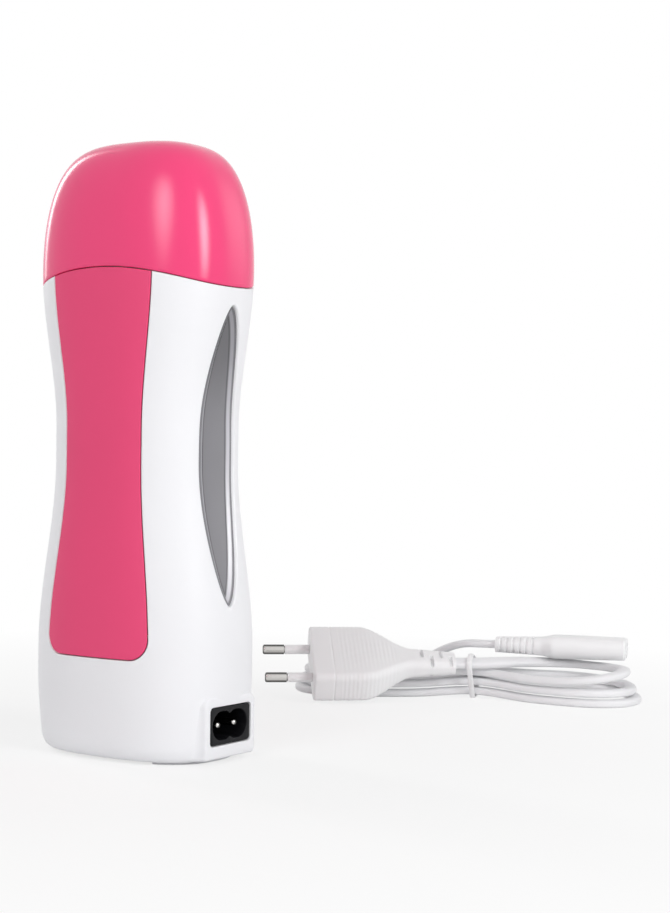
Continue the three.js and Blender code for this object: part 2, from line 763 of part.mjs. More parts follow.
// Leads inside, from the pins up through the cradle to the fuse and the heating stones
function lead(name, points, material) {
  const circle = new THREE.Shape()
  circle.absarc(0, 0, leadRadius, 0, 2 * halfTurn)
  const extrudePath = new THREE.CatmullRomCurve3(points, false, 'centripetal')
  add(name, new THREE.ExtrudeGeometry(circle, { extrudePath, steps: 16, curveSegments: 4 }), material)
}

const tailX = socketBackX - pinTail - fitGap
const leadEndZ = stoneLowZ - fitGap

function risingLead(side) {
  const x = -side * leadHalfSpacing
  const y = (side * pinSpacing) / 2
  return [
    at(tailX, y, socketZ),
    at(tailX - leadStraight, y, socketZ),
    at(leadTurnX, y + leadHalfSpacing / 2, socketZ + leadTurnRise),
    at(x / 2, fuseY - leadRadius, leadBendZ),
    at(x, fuseY, cradleZ)
  ]
}

const upFuseSide = (...heights) => heights.map((z) => at(fuseX, fuseY, z))
const upPlainSide = (...heights) => heights.map((z) => at(-fuseX, fuseY, z))
lead('lead_live', [...risingLead(1), ...upFuseSide(fuseLowZ - leadStraight, fuseLowZ - fitGap)], leadRed)
lead('lead_fuse', upFuseSide(fuseTopZ + fitGap, (fuseTopZ + leadEndZ) / 2, leadEndZ), leadRed)
lead('lead_neutral', [...risingLead(-1), ...upPlainSide(fuseTopZ, leadEndZ)], leadBlue)

// Mains lead: its group has x across the view, and the hank's frame turns in it
const mains = new THREE.Group()
mains.position.set(hankX, hankY, 0)
mains.rotation.z = viewTurnDegrees * degrees
model.add(mains)
const hankTurn = hankTurnDegrees * degrees
const hankFrame = new THREE.Group()
hankFrame.rotation.z = -hankTurn
mains.add(hankFrame)

// Route of the cord in the hank's frame: x along the hank, y to its far side. One angle runs through all
// the loops. The first end leaves the pile on the far side for the connector, the last one on the near
// side for the plug, and all runs rise a little over the tie.
const tilt = plugTiltDegrees * degrees
const plugAxisZ = plugHalfWidth * Math.sin(tilt) + plugHalfThickness * Math.cos(tilt) + fitGap / 2
const cordFloorZ = cordThickness / 2
const cordEnds = [-Math.asin(connectorCordStart / hankRightReach), 0]
cordEnds[1] = 2 * halfTurn * cordLoops + Math.asin(plugCordEnd / (hankLeftReach - hankFan * cordLoops))

function cordPoint(angle) {
  const turn = angle / (2 * halfTurn)
  const run = Math.min(Math.max(turn, 0), cordLoops)
  const whole = Math.min(Math.floor(run), cordLoops - 1)
  const last = turn - cordLoops + 1
  const reach = (Math.sin(angle) > 0 ? hankLeftReach : hankRightReach) - hankFan * run
  const looped = 2 * halfTurn * run
  const roundness = Math.sin(looped) ** 2 + waistRoundShare
  const bulge = roundness ** bulgePowerShare - waistRoundShare ** bulgePowerShare
  const x = -reach * Math.sin(angle)
  let y = Math.cos(looped) * (hankWaist + hankBulge * bulge)
  const climb = last > halfLoop ? during(last, plugClimbShares) : during(turn - whole, layerClimbShares)
  const overTie = (tieThickness + fitGap) * (1 - ease(Math.abs(x) / tieLiftReach))
  let z = cordFloorZ + cordLayer * (whole + climb) + overTie
  if (turn < halfLoop) {
    const drop = during(turn, connectorDropShares)
    y += (connectorOffset - hankWaist) * (1 - during(turn, connectorDriftShares))
    y += connectorSwing * 4 * drop * (1 - drop)
    z += (connectorLift - z) * (1 - drop)
  }
  if (last > halfLoop) {
    y += x * Math.tan(hankTurn) * during(last, plugAsideShares)
    y -= (plugOffset + hankWaist) * during(last, plugCrossShares)
    z += (plugAxisZ - z) * during(last, plugLiftShares)
  }
  return at(x, y, z)
}

// The flat section: six sides, level but for the end at the plug, which tilts with it
const cordSection = [
  [cordWidth / 2, 0],
  [cordFlat / 2, cordThickness / 2],
  [-cordFlat / 2, cordThickness / 2],
  [-cordWidth / 2, 0],
  [-cordFlat / 2, -cordThickness / 2],
  [cordFlat / 2, -cordThickness / 2]
]

function cordFrames(angles) {
  const points = angles.map(cordPoint)
  return points.map((centre, i) => {
    const before = points[Math.max(i - 1, 0)]
    const after = points[Math.min(i + 1, points.length - 1)]
    const along = new THREE.Vector3().subVectors(after, before).normalize()
    const wideAxis = new THREE.Vector3().crossVectors(along, at(0, 0, 1)).normalize()
    const roll = tilt * during(angles[i] / (2 * halfTurn) - cordLoops + 1, plugLiftShares)
    wideAxis.applyAxisAngle(along, -roll)
    const thinAxis = new THREE.Vector3().crossVectors(wideAxis, along)
    const corner = ([w, t]) => centre.clone().addScaledVector(wideAxis, w).addScaledVector(thinAxis, t)
    return { centre, wideAxis, thinAxis, ring: cordSection.map(corner) }
  })
}

const loopAngles = span(loopSteps * cordLoops, 0, 2 * halfTurn * cordLoops)
const cordRings = cordFrames([cordEnds[0], ...loopAngles, cordEnds[1]]).map((frame) => frame.ring)
add('cord_hank', skin(cordRings.map((ring) => [...ring].reverse())), whiteSoft, hankFrame)

// Least gap of the cord to itself: from corners of its section to the section of any run further on
function leastSelfGap() {
  const frames = cordFrames(span(400 * cordLoops, 0, 2 * halfTurn * cordLoops))
  const apart = 50
  const slope = new THREE.Vector2(cordThickness, cordWidth - cordFlat).normalize()
  let least = Infinity
  for (let i = 0; i < frames.length; i += 4) {
    for (const corner of frames[i].ring) {
      let nearest = Infinity
      let other = null
      for (let j = 0; j < frames.length; j++) {
        const distance = Math.abs(i - j) < apart ? Infinity : frames[j].centre.distanceTo(corner)
        if (distance < nearest) {
          nearest = distance
          other = frames[j]
        }
      }
      const offset = corner.clone().sub(other.centre)
      const side = Math.abs(offset.dot(other.wideAxis))
      const height = Math.abs(offset.dot(other.thinAxis))
      const slanted = slope.x * (side - cordWidth / 2) + slope.y * height
      least = Math.min(least, Math.max(height - cordThickness / 2, slanted))
    }
  }
  return least
}

console.log(`cord: least gap to itself ${leastSelfGap().toFixed(2)} mm`)

// Tie: a band round all the runs at the waist, drawn round the corners of their sections
function convexHull(points) {
  const sorted = [...points].sort((a, b) => a[0] - b[0] || a[1] - b[1])
  const half = (list) =>
    list.reduce((hull, p) => {
      while (hull.length > 1) {
        const [a, b] = hull.slice(-2)
        if ((b[0] - a[0]) * (p[1] - a[1]) - (b[1] - a[1]) * (p[0] - a[0]) > 0) break
        hull.pop()
      }
      return [...hull, p]
    }, [])
  return [...half(sorted).slice(0, -1), ...half(sorted.reverse()).slice(0, -1)]
}

function roundedHull(hull, radius) {
  const points = hull.flatMap((p, i) => {
    const before = hull[(i + hull.length - 1) % hull.length]
    const after = hull[(i + 1) % hull.length]
    const start = Math.atan2(before[0] - p[0], p[1] - before[1])
    const end = Math.atan2(p[0] - after[0], after[1] - p[1])
    const turn = (end - start + 2 * halfTurn) % (2 * halfTurn)
    return span(2, start, start + turn).map((a) => [p[0] + radius * Math.cos(a), p[1] + radius * Math.sin(a)])
  })
  return outline(points)
}

// Corners of the cord's skin a band's width to both sides of each crossing of the waist
const waistCorners = span(2 * cordLoops, 1, 1 + loopSteps * cordLoops).flatMap((i) =>
  [i - 1, i + 1].flatMap((j) =>
    cordRings[i].map((corner, k) => {
      const next = cordRings[j][k]
      return corner.clone().lerp(next, tieWidth / corner.distanceTo(next))
    })
  )
)
const waistHull = convexHull(waistCorners.map((p) => [p.y, Math.max(p.z, tieThickness + tieSlack)]))
const tieBand = slabAlongX(roundedHull(waistHull, tieSlack + tieThickness), -tieWidth / 2, tieWidth / 2)
const tieBore = slabAlongX(roundedHull(waistHull, tieSlack), -tieWidth, tieWidth)
add('cord_tie', tieBand.subtract(tieBore), whiteSoft, hankFrame)

// A rounded block along x: each station gives x, half width and half thickness
function roundedBody(stations, corner, steps = 4) {
  const quarters = [
    [1, 1],
    [-1, 1],
    [-1, -1],
    [1, -1]
  ]
  const rings = stations.map(([x, halfWidth, halfThickness]) => {
    const radius = Math.min(corner, roundingShare * halfWidth, roundingShare * halfThickness)
    return quarters.flatMap(([sideY, sideZ], quarter) =>
      span(steps, quarter * quarterTurn, (quarter + 1) * quarterTurn).map((angle) => {
        const y = sideY * (halfWidth - radius) + radius * Math.cos(angle)
        const z = sideZ * (halfThickness - radius) + radius * Math.sin(angle)
        return at(x, y, z)
      })
    )
  })
  return solid(skin(rings))
}

// Plug: built along x with its pins towards -x, then tilted about its length beside the waist
const plugPlace = new THREE.Group()
plugPlace.position.copy(cordPoint(cordEnds[1]))
plugPlace.rotation.z = hankTurn
hankFrame.add(plugPlace)
const plugFrame = new THREE.Group()
plugFrame.rotation.x = tilt
plugPlace.add(plugFrame)

const plugNeckX = -plugReliefLength
const plugTaperX = plugNeckX - plugTaper
const plugFaceX = plugTaperX - plugStraight
const plugTaperStations = span(4, 0, 1).map((t) => [
  plugTaperX + plugTaper * t,
  plugHalfWidth + (plugNeckHalfWidth - plugHalfWidth) * ease(t),
  plugHalfThickness + (plugNeckHalfThickness - plugHalfThickness) * ease(t)
])
let plug = roundedBody(
  [
    [plugFaceX, plugHalfWidth - plugEdge, plugHalfThickness - plugEdge],
    [plugFaceX + plugEdge, plugHalfWidth, plugHalfThickness],
    ...plugTaperStations,
    [-fitGap, plugReliefHalfWidth, plugReliefHalfThickness]
  ],
  plugCorner
)

// Slots in the strain relief, on both faces and staggered
for (let i = 0; i < reliefSlotCount; i++) {
  const x = plugNeckX + reliefSlotStart + reliefSlotPitch * i
  const [low, high] = reliefSlotShares[i % 2].map((share) => share * plugNeckHalfWidth)
  for (const face of bothSides) {
    const depth = ascending(face * reliefSlotFloor, face * plugHalfThickness)
    plug = plug.subtract(box([x, x + reliefSlotWidth], [low, high], depth))
  }
}

// Pins in the plug's face, with insulating sleeves over their roots
const plugCoreRadius = plugSleeveRadius - plugSleeveWall - pinPlay
const plugStepLength = plugPinSeat + plugSleeveLength + fitGap
const plugPinEnd = plugPinSeat + plugPinLength
const plugPinProfile = [
  [0, 0],
  [plugCoreRadius, 0],
  [plugCoreRadius, plugStepLength],
  [plugPinRadius, plugStepLength],
  [plugPinRadius, plugPinEnd - plugPinPoint],
  [plugPinRadius - plugPinPoint, plugPinEnd],
  [0, plugPinEnd]
].map(([radius, length]) => new THREE.Vector2(radius, length))
for (const [i, name] of ['near', 'far'].entries()) {
  const y = (bothSides[i] * plugPinSpacing) / 2
  const rootX = plugFaceX + plugPinSeat
  const sleeveEndX = plugFaceX - plugSleeveLength
  const pin = new THREE.LatheGeometry(plugPinProfile, 16)
  pin.rotateZ(quarterTurn)
  pin.translate(rootX, y, 0)
  plug = plug.subtract(rod(plugCoreRadius + pinPlay, at(rootX + fitGap, y, 0), at(sleeveEndX, y, 0)))
  const sleeve = rod(plugSleeveRadius, at(plugFaceX - fitGap, y, 0), at(sleeveEndX, y, 0))
  const bore = rod(plugCoreRadius + pinPlay, at(plugFaceX, y, 0), at(sleeveEndX - overrun, y, 0))
  add(`plug_pin_${name}`, pin, nickel, plugFrame)
  add(`plug_pin_sleeve_${name}`, sleeve.subtract(bore), whiteSoft, plugFrame)
}
add('plug_body', plug, whiteSoft, plugFrame)

// Connector: built along x with its nose towards +x, resting over the pile
const connectorPlace = new THREE.Group()
connectorPlace.position.copy(cordPoint(cordEnds[0]))
hankFrame.add(connectorPlace)
const gripX = connectorReliefLength
const noseX = gripX + connectorGrip
const tipX = noseX + connectorNose
let connector = roundedBody(
  [
    [fitGap, connectorReliefHalfWidth, connectorReliefHalfThickness],
    [gripX, connectorNeckHalfWidth, connectorNeckHalfThickness],
    [gripX + connectorShoulder, connectorHalfWidth, connectorHalfThickness],
    [noseX, connectorHalfWidth, connectorHalfThickness],
    [tipX, connectorHalfWidth - connectorTipTaper, connectorHalfThickness - connectorTipTaper]
  ],
  connectorHalfThickness
)
const connectorWide = [-connectorHalfWidth, connectorHalfWidth]

// Flutes between the two lobes, grooves in the strain relief, and a hole with a contact for each pin
for (const side of bothSides) {
  const outside = side * (connectorHalfThickness + overrun)
  const fluteFloor = side * (connectorHalfThickness - grooveDepth)
  const flute = [-connectorFluteHalfWidth, connectorFluteHalfWidth]
  connector = connector.subtract(box([noseX, tipX + overrun], flute, ascending(fluteFloor, outside)))
  for (let i = 0; i < grooveCount; i++) {
    const x = grooveStart + groovePitch * i
    const swelling = (connectorNeckHalfThickness - connectorReliefHalfThickness) * (x / gripX)
    const floor = side * (connectorReliefHalfThickness + swelling - grooveDepth)
    connector = connector.subtract(box([x, x + grooveWidth], connectorWide, ascending(floor, outside)))
  }
}
const holeEndX = tipX - connectorHoleDepth
for (const [i, name] of ['near', 'far'].entries()) {
  const y = (bothSides[i] * pinSpacing) / 2
  const from = holeEndX + fitGap
  const contactEnd = from + connectorContactLength
  const hole = rod(connectorHoleRadius, at(holeEndX, y, 0), at(tipX + overrun, y, 0), pinSides)
  const tube = rod(connectorHoleRadius - fitGap, at(from, y, 0), at(contactEnd, y, 0), pinSides)
  const bore = rod(pinRadius + pinPlay, at(from + fitGap, y, 0), at(contactEnd + overrun, y, 0), pinSides)
  connector = connector.subtract(hole)
  add(`connector_contact_${name}`, tube.subtract(bore), nickel, connectorPlace)
}
add('connector_body', connector, whiteSoft, connectorPlace)

export default model
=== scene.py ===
# %% [markdown]
# # A roll-on wax heater beside its mains lead
# The heater is a hand-held white moulding with a pink cap, two pink grip panels, two smoky windows and a
# mains inlet at its foot. Its lead lies behind it, folded into a tied hank.
#
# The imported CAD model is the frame: it gives every size and place, and the joints. Here each visible
# piece gets the smooth surface, the rounded edges and the finish of the real one. Sizes are written in
# millimetres, as in the CAD model, and become metres when a mesh is made.

import bmesh
import bpy
import numpy as np
from mathutils import Euler, Matrix


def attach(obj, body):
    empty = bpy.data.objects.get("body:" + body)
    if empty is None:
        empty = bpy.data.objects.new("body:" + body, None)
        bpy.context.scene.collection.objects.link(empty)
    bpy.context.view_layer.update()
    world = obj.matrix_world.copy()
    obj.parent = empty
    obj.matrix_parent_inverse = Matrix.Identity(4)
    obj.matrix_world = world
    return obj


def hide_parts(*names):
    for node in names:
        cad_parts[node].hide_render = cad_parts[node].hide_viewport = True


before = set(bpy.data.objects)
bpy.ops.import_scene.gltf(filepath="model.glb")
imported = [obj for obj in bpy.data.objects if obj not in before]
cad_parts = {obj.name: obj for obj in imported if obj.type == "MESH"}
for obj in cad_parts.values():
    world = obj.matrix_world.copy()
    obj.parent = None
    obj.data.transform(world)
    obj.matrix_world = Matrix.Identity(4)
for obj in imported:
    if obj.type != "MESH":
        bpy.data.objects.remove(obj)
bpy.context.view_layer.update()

# %% [markdown]
# ## Camera
# The heater was photographed level, with a long lens, from about 40 degrees to the right of its front.
# It stands left of the picture's centre, so the camera turns a little to the right instead of shifting
# its lens, and other views can reuse it as it is. In the photograph the heater leans by less than a
# degree, which is given by a small roll about the camera's own axis.

# %% Camera
MM = 0.001
VIEW_TURN = np.radians(40.3)
CAMERA_DISTANCE = 616
CAMERA_HEIGHT = 103.6
CAMERA_ROLL = np.radians(0.71)
FOCAL_PIXELS = 1833
PICTURE_SIZE = (670, 913)
AXIS_PIXEL = (146.9, 443.5)

aside = np.arctan((PICTURE_SIZE[0] / 2 - AXIS_PIXEL[0]) / FOCAL_PIXELS)
below = np.arctan((PICTURE_SIZE[1] / 2 - AXIS_PIXEL[1]) / FOCAL_PIXELS)
camera_data = bpy.data.cameras.new("camera")
camera_data.lens = FOCAL_PIXELS * camera_data.sensor_width / PICTURE_SIZE[1]
camera = bpy.data.objects.new("camera", camera_data)
camera.location = (
    CAMERA_DISTANCE * MM * np.sin(VIEW_TURN),
    -CAMERA_DISTANCE * MM * np.cos(VIEW_TURN),
    CAMERA_HEIGHT * MM,
)
level = Euler((np.pi / 2 - below, 0, VIEW_TURN - aside)).to_matrix()
camera.rotation_euler = (level @ Matrix.Rotation(CAMERA_ROLL, 3, "Z")).to_euler()
bpy.context.scene.collection.objects.link(camera)
bpy.context.scene.camera = camera
print("camera turned aside by", round(np.degrees(aside), 2), "degrees, lens", round(camera_data.lens, 1))

# %% [markdown]
# ## Meshes from grids
# A moulded surface is a function of two parameters, so each piece is one or more grids of points.
# A grid may close on itself across or along, as a tube or a ring does. The grids of a piece are welded
# where they meet, and a closed piece is turned so that its faces point outwards.

# %% Grid tools
WELD_DISTANCE = 2e-6
SHARP_ANGLE = np.radians(35)


def grid_faces(rows, columns, rows_close=False, columns_close=False):
    """Corner numbers of the cells of a grid whose points are counted row by row."""
    row = np.arange(rows if rows_close else rows - 1)[:, None]
    column = np.arange(columns if columns_close else columns - 1)[None, :]
    next_row, next_column = (row + 1) % rows, (column + 1) % columns
    corners = [
        row * columns + column,
        row * columns + next_column,
        next_row * columns + next_column,
        next_row * columns + column,
    ]
    return np.stack(corners, axis=-1).reshape(-1, 4).tolist()


def make_piece(name, grids, body, material, node):
    """A mesh object from grids of points in millimetres, each with its own faces, welded and turned out."""
    points = np.concatenate([grid.reshape(-1, 3) for grid, _ in grids]) * MM
    starts = np.cumsum([0] + [grid.size // 3 for grid, _ in grids])
    faces = [[i + start for i in face] for (_, own), start in zip(grids, starts) for face in own]
    mesh = bpy.data.meshes.new(name)
    mesh.from_pydata(points.tolist(), [], faces)
    welded = bmesh.new()
    welded.from_mesh(mesh)
    bmesh.ops.remove_doubles(welded, verts=welded.verts, dist=WELD_DISTANCE)
    if welded.calc_volume(signed=True) < 0:
        bmesh.ops.reverse_faces(welded, faces=welded.faces)
    open_edges = sum(edge.is_boundary for edge in welded.edges)
    welded.to_mesh(mesh)
    welded.free()
    mesh.shade_smooth()
    mesh.set_sharp_from_angle(angle=SHARP_ANGLE)
    mesh.materials.append(material)
    piece = bpy.data.objects.new(name, mesh)
    bpy.context.scene.collection.objects.link(piece)
    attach(piece, body)
    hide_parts(node)
    print(f"{name}: {len(mesh.polygons)} faces, {open_edges} open edges")
    return piece


def make_ringed(name, grid, body, material, node, rows_close=False):
    """A piece from one grid, each row of which is a closed ring."""
    faces = grid_faces(*grid.shape[:2], rows_close, True)
    return make_piece(name, [(grid, faces)], body, material, node)


# %% Curve tools
# A small rounded edge of radius 1, step by step: how far in from one of its faces, and from the other
ROLL = np.linspace(0, np.pi / 2, 5)
ROLL_IN, ROLL_OUT = 1 - np.cos(ROLL), 1 - np.sin(ROLL)
ROLL_STEPS = list(zip(ROLL_IN, ROLL_OUT))


def signed_power(value, power):
    """A power that keeps the sign of its base."""
    return np.sign(value) * np.abs(value) ** power


def ease(t):
    """From 0 to 1 with a level start and end: three times the square less twice the cube."""
    share = np.clip(t, 0, 1)
    return share * share * (3 - 2 * share)


def during(t, start, length):
    """How far an event has run that starts at one share and lasts another."""
    return ease((t - start) / length)


def lengths_along(points):
    """How far each point of a line lies from the first one, along the line."""
    steps = np.linalg.norm(np.diff(points, axis=0), axis=1)
    return np.concatenate([[0], np.cumsum(steps)])


def even_samples(points, count):
    """Parameters, from 0 to 1, at which a line of points is cut into equal lengths."""
    along = lengths_along(points)
    return np.interp(np.linspace(0, along[-1], count), along, np.linspace(0, 1, len(points)))


def turned(points, degrees, axis):
    """Points turned about one of the axes, counted 0, 1 and 2 for x, y and z."""
    a, b = [(1, 2), (2, 0), (0, 1)][axis]
    cosine, sine = np.cos(np.radians(degrees)), np.sin(np.radians(degrees))
    result = np.array(points, float)
    result[..., a] = cosine * points[..., a] - sine * points[..., b]
    result[..., b] = sine * points[..., a] + cosine * points[..., b]
    return result


# %% [markdown]
# ## Finishes
# Moulded plastic is never quite even: its colour drifts a little, its gloss changes over a few
# centimetres, and its skin has a fine grain or a faint orange peel. One recipe gives all three from noise
# on Object coordinates, and each finish sets its own amounts. Values that are the same all over a surface
# are set straight on the shader.

# %% Node helpers
def set_inputs(node, **values):
    """Set a node's inputs by name, with _ for a space."""
    for socket, value in values.items():
        node.inputs[socket.replace("_", " ")].default_value = value


def add_node(tree, kind, **values):
    """A new shader node with these values on its inputs."""
    node = tree.nodes.new("ShaderNode" + kind)
    set_inputs(node, **values)
    return node


def scale_colour(material, factor):
    """Multiply a finish's colour by the output of another of its nodes."""
    tree = material.node_tree
    colour = tree.nodes["Principled BSDF"].inputs["Base Color"]
    scaled = add_node(tree, "VectorMath")
    scaled.operation = "SCALE"
    tree.links.new(colour.links[0].from_socket, scaled.inputs[0])
    tree.links.new(factor, scaled.inputs["Scale"])
    tree.links.new(scaled.outputs[0], colour)


# %% Recipe for a finish
PATCHES_PER_METRE, PATCH_DETAIL, GRAIN_DETAIL = 28, 3, 2
LEAST_ROUGHNESS = 0.02


def finish(name, colour, roughness, drift=0.03, gloss_drift=0.04, grain=0.3, bump=0.02, **values):
    """A material whose colour and roughness drift with coarse noise, with a grain of a given size in mm.

    Colour is given as the values of a screen colour, 0 to 255, and made linear by the usual power.
    """
    material = bpy.data.materials.new(name)
    material.use_nodes = True
    tree = material.node_tree
    shader = tree.nodes["Principled BSDF"]
    place = add_node(tree, "TexCoord").outputs["Object"]
    linear = [((c / 255 + 0.055) / 1.055) ** 2.4 for c in colour]

    coarse = add_node(tree, "TexNoise", Scale=PATCHES_PER_METRE, Detail=PATCH_DETAIL)
    tree.links.new(place, coarse.inputs["Vector"])
    tint = add_node(tree, "Mix")
    tint.data_type = "RGBA"
    dark, light = [c * (1 - drift) for c in linear], [min(c * (1 + drift), 1) for c in linear]
    set_inputs(tint, A=(*dark, 1), B=(*light, 1))
    tree.links.new(coarse.outputs["Fac"], tint.inputs["Factor"])
    tree.links.new(tint.outputs["Result"], shader.inputs["Base Color"])

    least = max(roughness - gloss_drift, LEAST_ROUGHNESS)
    gloss = add_node(tree, "MapRange", To_Min=least, To_Max=roughness + gloss_drift)
    tree.links.new(coarse.outputs["Fac"], gloss.inputs["Value"])
    tree.links.new(gloss.outputs["Result"], shader.inputs["Roughness"])

    fine = add_node(tree, "TexNoise", Scale=1 / (grain * MM), Detail=GRAIN_DETAIL)
    tree.links.new(place, fine.inputs["Vector"])
    relief = add_node(tree, "Bump", Strength=1, Distance=bump * MM)
    tree.links.new(fine.outputs["Fac"], relief.inputs["Height"])
    tree.links.new(relief.outputs["Normal"], shader.inputs["Normal"])
    set_inputs(shader, **values)
    return material


# %% Finishes of the heater
pink_gloss = finish("polished pink plastic", (240, 60, 120), 0.18, grain=1.4, bump=0.006)
pink_satin = finish("satin pink plastic", (233, 71, 120), 0.48, grain=0.22, bump=0.02, Specular_IOR_Level=0.4)
white_shell = finish(
    "smooth white plastic", (239, 239, 242), 0.42, drift=0.01, grain=1.2, bump=0.006, Specular_IOR_Level=0.25
)
white_soft = finish("moulded white plastic", (246, 246, 247), 0.5, drift=0.012, grain=0.25, bump=0.02)
white_sheath = finish("soft white sheath", (238, 238, 240), 0.55, drift=0.02, grain=0.35, bump=0.03)
black_plastic = finish(
    "moulded black plastic", (20, 20, 23), 0.36, drift=0.08, grain=0.25, bump=0.02, Specular_IOR_Level=0.15
)
grey_plastic = finish("moulded grey plastic", (185, 188, 192), 0.55, grain=0.3, bump=0.02)
smoky_lens_with_painted_light = finish("smoky lens", (140, 139, 144), 0.14, drift=0.1, grain=2.0, bump=0.004, Alpha=0.85)

# %% [markdown]
# Metal pieces are turned, drawn or stamped, and then plated. Their grain runs finer than that of plastic,
# so the same recipe serves them with a metallic shader. The ceramic stones, the amber film and the wires
# inside only show with the cap off, but have their finishes too.

# %% Finishes of metal and inner pieces
nickel_with_painted_sides = finish("nickel plate", (208, 206, 203), 0.18, gloss_drift=0.06, grain=0.15, bump=0.004, Metallic=1)
zinc = finish("zinc plate", (178, 180, 184), 0.36, gloss_drift=0.08, grain=0.2, bump=0.01, Metallic=1)
drawn_aluminium = finish(
    "drawn aluminium", (200, 202, 205), 0.34, gloss_drift=0.08, grain=0.5, bump=0.012, Metallic=1
)
fired_ceramic = finish("fired ceramic", (74, 71, 68), 0.8, drift=0.12, grain=0.2, bump=0.05)
amber_film = finish("amber film", (185, 122, 42), 0.3, drift=0.06, grain=1.0, bump=0.01)
red_wire = finish("red wire", (159, 43, 38), 0.45, grain=0.5, bump=0.01)
blue_wire = finish("blue wire", (43, 74, 143), 0.45, grain=0.5, bump=0.01)
print("finishes:", sorted(material.name for material in bpy.data.materials))

# %% [markdown]
# A plated pin mirrors what is beside it, so in a room that isn't all white its sides would be darker than its
# middle. The room here is white, so the plate's colour falls towards the sides instead, as a painted dark
# reflection.

# %% Painted dark reflection on the sides of the plated pins
PAINTED_SIDE_SHADE = 0.12
SIDE_SLANT_SHARES = (0.05, 0.35)
# Painted reflection: the plate's colour falls towards the grazing sides, standing in for a dark room mirrored
# there.
slant = add_node(nickel_with_painted_sides.node_tree, "LayerWeight")
painted_side_reflection = add_node(nickel_with_painted_sides.node_tree, "MapRange", To_Min=1, To_Max=PAINTED_SIDE_SHADE)
painted_side_reflection.interpolation_type = "SMOOTHSTEP"
set_inputs(painted_side_reflection, From_Min=SIDE_SLANT_SHARES[0], From_Max=SIDE_SLANT_SHARES[1])
nickel_with_painted_sides.node_tree.links.new(slant.outputs["Facing"], painted_side_reflection.inputs["Value"])
scale_colour(nickel_with_painted_sides, painted_side_reflection.outputs["Result"])

# %% [markdown]
# ## The cord's route
# The lead is 0.99 m of flat two-core cord, folded into three long loops and tied at the waist. One angle
# runs through all the loops: along the hank the cord swings as a sine, across it the two runs of a loop
# bulge apart, and each loop lies a layer higher than the last. Near its ends the cord leaves the pile,
# on the far side for the connector and on the near side for the plug. The CAD model has the same formula.

# %% Route of the cord
LOOPS = 3
LEFT_REACH, RIGHT_REACH, FAN = 74, 67, 2
WAIST, BULGE, WAIST_ROUND, BULGE_POWER = 2.95, 37, 0.02, 0.6
CORD_WIDTH, CORD_THICKNESS, CORD_LAYER = 5.2, 3.2, 3.9
TIE_WIDTH, TIE_THICKNESS, TIE_SLACK, TIE_REACH = 2.2, 0.9, 0.7, 26
FIT_GAP = 0.3
CONNECTOR_START, CONNECTOR_OFFSET, CONNECTOR_LIFT, CONNECTOR_SWING = 7, 9.4, 20.8, 2
PLUG_END, PLUG_OFFSET, PLUG_TILT, HANK_TURN = 6, 10.6, 30, 20
PLUG_HALF_WIDTH, PLUG_HALF_THICKNESS = 17.6, 6.8
PLUG_AXIS_Z = (
    PLUG_HALF_WIDTH * np.sin(np.radians(PLUG_TILT))
    + PLUG_HALF_THICKNESS * np.cos(np.radians(PLUG_TILT))
    + FIT_GAP / 2
)
# Shares of a loop: where an event of the route starts, and how long it lasts
HALF_LOOP = 0.5
LAYER_CLIMB_SHARES, PLUG_CLIMB_SHARES = (0.74, 0.24), (0.56, 0.2)
CONNECTOR_DROP_SHARES, CONNECTOR_DRIFT_SHARES = (0.005, 0.105), (0.125, 0.12)
PLUG_CROSS_SHARES, PLUG_ASIDE_SHARES, PLUG_LIFT_SHARES = (0.53, 0.5), (0.8, 0.19), (0.85, 0.13)


def cord_centre(angle):
    """Centre of the cord in the hank's frame, x along the hank and y to its far side."""
    turn = angle / (2 * np.pi)
    run = np.clip(turn, 0, LOOPS)
    whole = np.minimum(np.floor(run), LOOPS - 1)
    last = turn - LOOPS + 1
    reach = np.where(np.sin(angle) > 0, LEFT_REACH, RIGHT_REACH) - FAN * run
    looped = 2 * np.pi * run
    bulge = (np.sin(looped) ** 2 + WAIST_ROUND) ** BULGE_POWER - WAIST_ROUND**BULGE_POWER
    x = -reach * np.sin(angle)
    y = np.cos(looped) * (WAIST + BULGE * bulge)
    starting, ending = turn < HALF_LOOP, last > HALF_LOOP
    climb = np.where(ending, during(last, *PLUG_CLIMB_SHARES), during(turn - whole, *LAYER_CLIMB_SHARES))
    over_tie = (TIE_THICKNESS + FIT_GAP) * (1 - ease(np.abs(x) / TIE_REACH))
    z = CORD_THICKNESS / 2 + CORD_LAYER * (whole + climb) + over_tie

    drop = during(turn, *CONNECTOR_DROP_SHARES)
    drift = (CONNECTOR_OFFSET - WAIST) * (1 - during(turn, *CONNECTOR_DRIFT_SHARES))
    y = y + np.where(starting, drift + CONNECTOR_SWING * 4 * drop * (1 - drop), 0)
    z = z + np.where(starting, (CONNECTOR_LIFT - z) * (1 - drop), 0)

    sideways = x * np.tan(np.radians(HANK_TURN)) * during(last, *PLUG_ASIDE_SHARES)
    crossing = (PLUG_OFFSET + WAIST) * during(last, *PLUG_CROSS_SHARES)
    y = y + np.where(ending, sideways - crossing, 0)
    z = z + np.where(ending, (PLUG_AXIS_Z - z) * during(last, *PLUG_LIFT_SHARES), 0)
    return np.stack([x, y, z], axis=-1)


FIRST_ANGLE = -np.arcsin(CONNECTOR_START / RIGHT_REACH)
LAST_ANGLE = 2 * np.pi * LOOPS + np.arcsin(PLUG_END / (LEFT_REACH - FAN * LOOPS))
HANK_PLACE = np.array([19.4, 187, 0])
MAINS_TURN = 40.3


def hank_to_world(points):
    """From the hank's frame to the model's: turned back by the hank's turn, then set across the view."""
    return turned(points, MAINS_TURN - HANK_TURN, 2) + HANK_PLACE


print("the route runs over", round(float(LAST_ANGLE - FIRST_ANGLE) / (2 * np.pi), 3), "loops")


